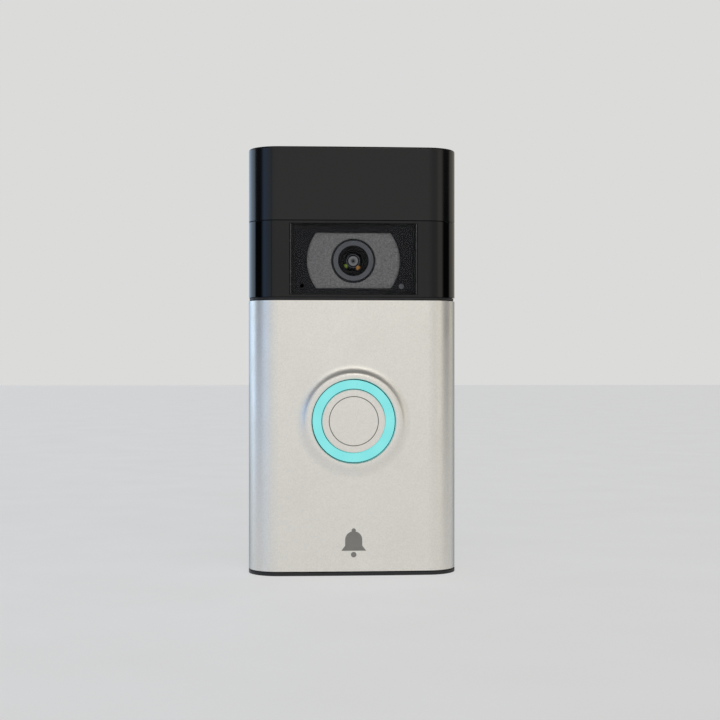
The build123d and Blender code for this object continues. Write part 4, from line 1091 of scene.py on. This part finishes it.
@dataclass
class Lens(Assembly):
    """The camera's lens: barrel, front ring, stepped baffle and front element."""

    head_front_mm: float = 25.0
    ring_outer_mm: float = 5.95
    ring_inner_mm: float = 4.55
    ring_height_mm: float = 0.15
    ring_edge_mm: float = 0.05
    ring_groove_mm: tuple[float, float, float, float] = (5.4, 5.36, 5.28, 5.24)
    baffle_steps: int = 6
    baffle_outer_mm: float = 4.42
    baffle_inner_mm: float = 3.05
    baffle_rear_mm: float = 23.3
    baffle_setback_mm: float = 0.05
    baffle_shares: tuple[float, float] = (0.8, 0.9)
    baffle_wall_mm: tuple[float, float] = (0.05, 0.12)
    dome_rise_mm: float = 1.5
    dome_rows: int = 14

    def build(self) -> None:
        """Models the lens's detailed pieces and dresses its nodes."""
        self.build_ring()
        self.build_baffle()
        self.build_front_element()
        self.dress(BARREL, "lens_barrel")
        self.dress(NYLON, "camera_holder")
        self.dress(LENS_GLASS, "rear_lens")
        self.dress(EPOXY, "image_sensor")
        self.dress(LAMINATE, "camera_board")

    def build_ring(self) -> None:
        """Models the grey ring on the barrel's head."""
        front = self.head_front_mm + self.ring_height_mm
        edge = self.ring_edge_mm
        outer_lip, outer_floor, inner_floor, inner_lip = self.ring_groove_mm
        profile = [
            (self.ring_outer_mm, self.head_front_mm),
            (self.ring_outer_mm, front - edge),
            (self.ring_outer_mm - edge, front),
            (outer_lip, front),
            (outer_floor, front - edge),
            (inner_floor, front - edge),
            (inner_lip, front),
            (self.ring_inner_mm + edge, front),
            (self.ring_inner_mm, front - edge),
            (self.ring_inner_mm, self.head_front_mm),
        ]
        piece = turned("lens_front_ring", axis_of("front_lens"), profile, hollow=True)
        settle(piece)
        add_piece(piece, LENS_RING)

    def build_baffle(self) -> None:
        """Models the steps inside the cone that keep stray light out."""
        outer, inner = self.baffle_outer_mm, self.baffle_inner_mm
        front, rear = self.head_front_mm - self.baffle_setback_mm, self.baffle_rear_mm
        lip, root = self.baffle_shares
        side, back = self.baffle_wall_mm
        rise = (front - rear) / self.baffle_steps
        tread = (outer - inner) / self.baffle_steps
        profile = [(outer, front)]
        for step in range(self.baffle_steps):
            radius = outer - step * tread
            profile.append((radius - tread * lip, front - step * rise))
            profile.append((radius - tread * root, front - (step + 1) * rise))
        profile += [(r + side, d - back) for r, d in reversed(profile[1:])]
        piece = turned("lens_baffle", axis_of("front_lens"), profile, hollow=True)
        settle(piece, 20.0)
        add_piece(piece, FLOCK)

    def build_front_element(self) -> None:
        """Models the domed front element."""
        low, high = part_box("front_lens")
        radius = (high.x - low.x) / 2 / MM
        front, rear = -low.y / MM, -high.y / MM
        edge = front - self.dome_rise_mm
        profile = [(radius, rear), (radius, edge)]
        for row in range(1, self.dome_rows):
            turn = QUARTER_TURN * row / self.dome_rows
            rise = (front - edge) * math.sin(turn)
            profile.append((radius * math.cos(turn), edge + rise))
        piece = turned("lens_front_element", axis_of("front_lens"), profile, hollow=False)
        settle(piece, 60.0)
        add_piece(piece, LENS_GLASS)
        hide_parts("front_lens")


@dataclass
class Faceplate(Assembly):
    """The nickel-coloured faceplate with its emblem."""

    def build(self) -> None:
        """Dresses the faceplate."""
        self.dress(NICKEL, "faceplate")
        self.dress(INK, "bell_emblem")


@dataclass
class FrontButton(Assembly):
    """The push button, the lit ring round it and what carries them."""

    boot_section_mm: tuple[tuple[float, float], ...] = (
        (9.1, 25.3), (9.1, 25.52), (9.02, 25.6), (8.3, 25.6), (7.4, 25.69), (7.0, 25.8),
        (6.5, 25.8), (6.1, 25.86), (5.7, 25.96), (5.2, 25.96), (4.8, 26.02), (3.9, 26.13),
        (3.7, 26.15), (3.12, 26.15), (3.05, 26.08), (3.05, 25.92), (3.12, 25.85),
        (4.8, 25.7), (5.2, 25.66), (5.7, 25.66), (6.1, 25.56), (6.5, 25.5), (7.0, 25.5),
        (7.4, 25.41), (8.4, 25.3),
    )
    boot_keep: float = 0.3

    def build(self) -> None:
        """Models the rubber boot and dresses the button, ring and carrier."""
        self.build_boot()
        self.dress(CAP_NICKEL, "button_cap")
        self.dress(RING_LIGHT, "light_ring")
        self.dress(NYLON, "button_carrier", "button_plunger", "button_switch")
        self.dress(STEEL, "button_clip", "ring_board_screws")
        self.dress(LAMINATE, "ring_board")
        self.dress(RESIN, "ring_lamps")

    def build_boot(self) -> None:
        """Models the ribbed boot round the button."""
        centre = axis_of("button_boot")
        piece = turned("ribbed_button_boot", centre, self.boot_section_mm, hollow=True)
        settle(piece, 50.0)
        add_piece(piece, RUBBER)
        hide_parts("button_boot")
        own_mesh(piece)


@dataclass
class Speaker(Assembly):
    """The speaker and the cloth between it and the grille."""

    cloth_radius_mm: float = 8.45
    cloth_front_mm: float = 23.5
    cloth_thickness_mm: float = 0.12
    cloth_sag_mm: float = 0.12
    cloth_steps: tuple[tuple[float, float], ...] = ((0.05, 1.0), (0.5, 0.8), (1.0, 0.0))

    def build(self) -> None:
        """Models the cloth and dresses the speaker."""
        front, rear = self.cloth_front_mm, self.cloth_front_mm - self.cloth_thickness_mm
        radius, sag = self.cloth_radius_mm, self.cloth_sag_mm
        profile = [(radius * r, rear - sag * s) for r, s in self.cloth_steps]
        profile += [(radius * r, front - sag * s) for r, s in reversed(self.cloth_steps)]
        piece = turned("grille_cloth", axis_of("speaker_frame"), profile, hollow=False)
        settle(piece)
        add_piece(piece, CLOTH)
        self.dress(NYLON, "speaker_frame")
        self.dress(PAPER, "speaker_cone")
        self.dress(TINPLATE, "speaker_magnet")
        self.dress(FOAM, "speaker_gasket")


@dataclass
class Electronics(Assembly):
    """The main board with its shield, chips, aerial and small components."""

    spacing_mm: float = 2.6
    body_length_mm: float = 1.0
    body_width_mm: float = 0.55
    body_height_mm: float = 0.4
    body_bevel_mm: float = 0.06
    solder_share: float = 0.25
    clearance_mm: float = 0.9
    flatness_mm: float = 0.1
    fill_share: float = 0.6
    seed: int = 7

    def build(self) -> None:
        """Models the small components and dresses the boards."""
        self.dress(LAMINATE, "main_board", "wifi_antenna")
        self.dress(TINPLATE, "processor_shield")
        self.dress(EPOXY, "board_chips")
        self.dress(CREAM_NYLON, "board_plugs")
        self.dress(STEEL, "board_screws")
        self.build_components()

    def build_components(self) -> None:
        """Models one small component and copies it over the board's free places."""
        model = primitive(
            "board_components",
            bpy.ops.mesh.primitive_cube_add,
            size=1,
            scale=Vector((self.body_length_mm, self.body_height_mm, self.body_width_mm)) * MM,
        )
        bpy.ops.object.transform_apply(location=False, rotation=False, scale=True)
        end = self.body_length_mm * MM * (0.5 - self.solder_share)
        with editing(model):
            for side in (-1, 1):
                bpy.ops.mesh.select_all(action="SELECT")
                bpy.ops.mesh.bisect(plane_co=(side * end, 0, 0), plane_no=(1, 0, 0))
            bpy.ops.mesh.select_all(action="SELECT")
            bevel = self.body_bevel_mm * MM
            bpy.ops.mesh.bevel(offset=bevel, segments=1, affect="EDGES", clamp_overlap=True)
        for finish in (EPOXY, TINPLATE):
            model.data.materials.append(finish.material())
        with editing(model):
            pick_faces(model, lambda middle: abs(middle.x) > end)
            model.active_material_index = 1
            bpy.ops.object.material_slot_assign()
        copies = []
        for x, y, z, turned_up in self.free_places():
            copy = model.copy()
            copy.data = model.data.copy()
            bpy.context.scene.collection.objects.link(copy)
            copy.location = (x, y - self.body_height_mm * MM / 2, z)
            copy.rotation_euler = (0, QUARTER_TURN if turned_up else 0, 0)
            copies.append(copy)
        bpy.data.objects.remove(model)
        piece = joined("board_components", copies)
        settle(piece)
        add_piece(piece, EPOXY)

    def free_places(self) -> list[tuple[float, float, float, bool]]:
        """Finds places on the front of the main board that nothing else needs.

        Returns:
            Each place's X, Y and Z, and whether its component stands upright.
        """
        graph = bpy.context.evaluated_depsgraph_get()
        trees = {
            name: BVHTree.FromObject(node, graph)
            for name, node in self.frame["nodes"].items()
            if not node.hide_render
        }
        board = trees.pop("main_board")
        low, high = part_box("main_board")
        drawn = random.Random(self.seed)
        step, need = self.spacing_mm * MM, self.clearance_mm * MM
        places = []
        for i in range(1, int((high.x - low.x) / step)):
            for j in range(1, int((high.z - low.z) / step)):
                spot = Vector((low.x + i * step, low.y, low.z + j * step))
                chosen, upright = drawn.random(), drawn.random() < 0.5
                if chosen > self.fill_share:
                    continue
                over = [
                    spot + Vector((dx, 0, dz))
                    for dx in (-need, need)
                    for dz in (-need, need)
                ]
                hits = [board.ray_cast(p - Vector((0, MM, 0)), (0, 1, 0))[3] for p in over]
                if any(hit is None or abs(hit - MM) > self.flatness_mm * MM for hit in hits):
                    continue
                heart = spot - Vector((0, self.body_height_mm * MM / 2, 0))
                if any(t.find_nearest(heart, need)[0] is not None for t in trees.values()):
                    continue
                places.append((spot.x, spot.y, spot.z, upright))
        return places


@dataclass
class Power(Assembly):
    """The battery, its lead, the power board and what is reached at the back."""

    contact_count: int = 5
    contact_pitch_mm: float = 0.65
    contact_width_mm: float = 0.3
    contact_length_mm: float = 2.2
    contact_height_mm: float = 0.04
    tongue_height_mm: float = 0.7
    contact_round_share: float = 0.4
    contact_setback_mm: float = 1.15

    def build(self) -> None:
        """Models the socket's contacts and dresses the power side."""
        self.dress(WRAP, "battery_pack")
        self.dress(FOAM, "battery_foam")
        self.dress(LAMINATE, "battery_board", "power_board")
        self.dress(CREAM_NYLON, "battery_plug")
        self.dress(WIRE, "battery_wires")
        self.dress(BRASS, "terminal_plates")
        self.dress(STEEL, "terminal_screws")
        self.dress(TINPLATE, "charging_socket")
        self.dress(ORANGE, "setup_button")
        self.dress(NYLON, "setup_switch", "setup_plunger")
        self.build_contacts()

    def build_contacts(self) -> None:
        """Models the gold contacts on the charging socket's tongue."""
        middle_x, middle_z = axis_of("charging_socket")
        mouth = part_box("charging_socket")[1].y - self.contact_setback_mm * MM
        length = self.contact_length_mm * MM
        contacts = []
        for index in range(self.contact_count):
            offset = (index - (self.contact_count - 1) / 2) * self.contact_pitch_mm
            contact = primitive(
                f"socket_contact_{index}",
                bpy.ops.mesh.primitive_cube_add,
                size=1,
                location=(
                    middle_x + offset * MM,
                    mouth - length / 2,
                    middle_z - self.tongue_height_mm / 2 * MM,
                ),
                scale=(self.contact_width_mm * MM, length, self.contact_height_mm * MM),
            )
            bpy.ops.object.transform_apply(location=False, rotation=False, scale=True)
            bevel = contact.modifiers.new("rounded", "BEVEL")
            bevel.width = self.contact_height_mm * MM * self.contact_round_share
            bevel.segments = 2
            settle(contact)
            contacts.append(contact)
        add_piece(joined("socket_contacts", contacts), GOLD)


# ---------------------------------------------------------------------- studio
@dataclass(frozen=True)
class Softbox:
    """A soft rectangular lamp that looks at the object."""

    name: str
    place: tuple[float, float, float]
    width: float
    height: float
    power: float
    colour: str

    def build(self, target: Vector) -> None:
        """Adds the lamp.

        Args:
            target: the point that it faces.
        """
        data = bpy.data.lights.new(self.name, "AREA")
        data.shape = "RECTANGLE"
        data.size, data.size_y = self.width, self.height
        data.energy = self.power
        data.color = linear(self.colour)[:3]
        lamp = bpy.data.objects.new(self.name, data)
        bpy.context.scene.collection.objects.link(lamp)
        lamp.visible_camera = False
        lamp.location = self.place
        view = target - Vector(self.place)
        lamp.rotation_euler = view.to_track_quat("-Z", "Y").to_euler()


@dataclass
class Studio:
    """The pale floor, the soft light and the camera."""

    camera_distance: float = 0.400
    azimuth_degrees: float = -3.4
    focal_length: float = 68.0
    clip_start: float = 0.01
    target: tuple[float, float, float] = (0.0018, -0.028, 0.0003)
    floor_size: float = 6.0
    backdrop_colour: str = "DBDBDA"
    band_limits: tuple[float, float] = (0.12, 0.42)
    around: tuple[tuple[float, str], ...] = (
        (0.0, "7FA2D6"), (0.12, "CBE2F8"), (0.20, "CBE2F8"), (0.225, "0C0D10"),
        (0.30, "0C0D10"), (0.335, "8FB0DA"), (0.416, "96A0AA"), (0.4205, "3A3C3E"),
        (0.425, "A2A4A6"), (0.47, "ADADAB"), (0.53, "ADADAB"), (0.57, "949492"),
        (0.61, "949492"), (0.64, "BAB5AC"), (0.67, "BAB5AC"), (0.70, "0F0F10"),
        (0.775, "0F0F10"), (0.80, "9C978E"), (0.9, "8E8B80"), (1.0, "6C6A64"),
    )
    above: tuple[tuple[float, str], ...] = (
        (0.0, "8E8F90"), (0.30, "666666"), (0.60, "464646"), (1.0, "464646"),
    )
    surround_strength: float = 2.1
    softboxes: tuple[Softbox, ...] = (
        Softbox("key", (-0.22, -0.95, 0.48), 0.9, 0.24, 0.8, "FFFEFB"),
        Softbox("fill", (0.35, -0.95, 0.48), 0.8, 0.24, 0.7, "FFFBF4"),
        Softbox("edge", (-0.5, 0.02, -0.03), 0.45, 0.05, 0.055, "6BA0E4"),
    )

    def build(self) -> None:
        """Builds the studio."""
        self.build_floor()
        self.build_world()
        middle = Vector(self.target)
        for softbox in self.softboxes:
            softbox.build(middle)
        self.build_camera(middle)

    def build_floor(self) -> None:
        """Lays the floor under the object."""
        low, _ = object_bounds()
        floor = primitive(
            "studio_floor",
            bpy.ops.mesh.primitive_plane_add,
            size=self.floor_size,
            location=(0, 0, low.z),
        )
        settle(floor)
        floor.data.materials.append(FLOOR.material())
        floor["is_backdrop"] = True

    def build_world(self) -> None:
        """Builds the surroundings: a pale backdrop that is lit unevenly.

        Near the horizon the light changes round the object, with a dark gap at
        each side that gives the glossy corners their black bands. Higher up it
        is an even grey that darkens towards the top.
        """
        world = bpy.data.worlds.new("studio_surround")
        bpy.context.scene.world = world
        world.use_nodes = True
        tree = world.node_tree
        tree.nodes.clear()
        place = add_node(tree, "TexCoord").outputs["Generated"]
        split = add_node(tree, "SeparateXYZ", None, {0: place}).outputs
        settings = {"operation": "MULTIPLY", 1: -1.0}
        forward = add_node(tree, "Math", settings, {0: split["Y"]})
        links = {0: split["X"], 1: forward}
        turn = add_node(tree, "Math", {"operation": "ARCTAN2"}, links)
        settings = {"From Min": -math.pi, "From Max": math.pi}
        share = add_node(tree, "MapRange", settings, {"Value": turn})
        around = add_node(tree, "ValToRGB", None, {"Fac": share}, self.around)
        above = add_node(tree, "ValToRGB", None, {"Fac": split["Z"]}, self.above)
        settings = {"From Min": self.band_limits[0], "From Max": self.band_limits[1]}
        raised = add_node(tree, "MapRange", settings, {"Value": split["Z"]})
        links = {MIX_FACTOR: raised, MIX_A: around, MIX_B: above}
        mixed = add_node(tree, "Mix", {"data_type": "RGBA"}, links)
        settings = {"Strength": self.surround_strength}
        lit = add_node(tree, "Background", settings, {0: mixed.outputs[MIX_RESULT]})
        settings = {0: linear(self.backdrop_colour), "Strength": 1.0}
        seen = add_node(tree, "Background", settings)
        direct = add_node(tree, "LightPath").outputs["Is Camera Ray"]
        shown = add_node(tree, "MixShader", None, {0: direct, 1: lit, 2: seen})
        add_node(tree, "OutputWorld", links={"Surface": shown})

    def build_camera(self, middle: Vector) -> None:
        """Sets up the camera.

        Args:
            middle: the point that it looks at.
        """
        data = bpy.data.cameras.new("camera")
        data.lens = self.focal_length
        camera = bpy.data.objects.new("camera", data)
        bpy.context.scene.collection.objects.link(camera)
        turn = math.radians(self.azimuth_degrees)
        back = Vector((math.sin(turn), -math.cos(turn), 0))
        camera.location = middle + back * self.camera_distance
        camera.rotation_mode = "QUATERNION"
        camera.rotation_quaternion = (-back).to_track_quat("-Z", "Y")
        data.clip_start = self.clip_start
        bpy.context.scene.camera = camera
        bpy.context.scene.view_settings.view_transform = "Standard"


def main() -> None:
    """Builds the doorbell and its studio, and reports each piece."""
    logging.basicConfig(level=logging.INFO, format="%(name)s: %(message)s")
    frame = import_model()
    front = (CameraSection, Lens, Faceplate, FrontButton)
    inside = (Speaker, Electronics, Power)
    for assembly in (Housing, *front, *inside):
        assembly(frame).build()
        LOG.info("%s is built", assembly.__name__)
    Studio().build()


if __name__ == "__main__":
    main()
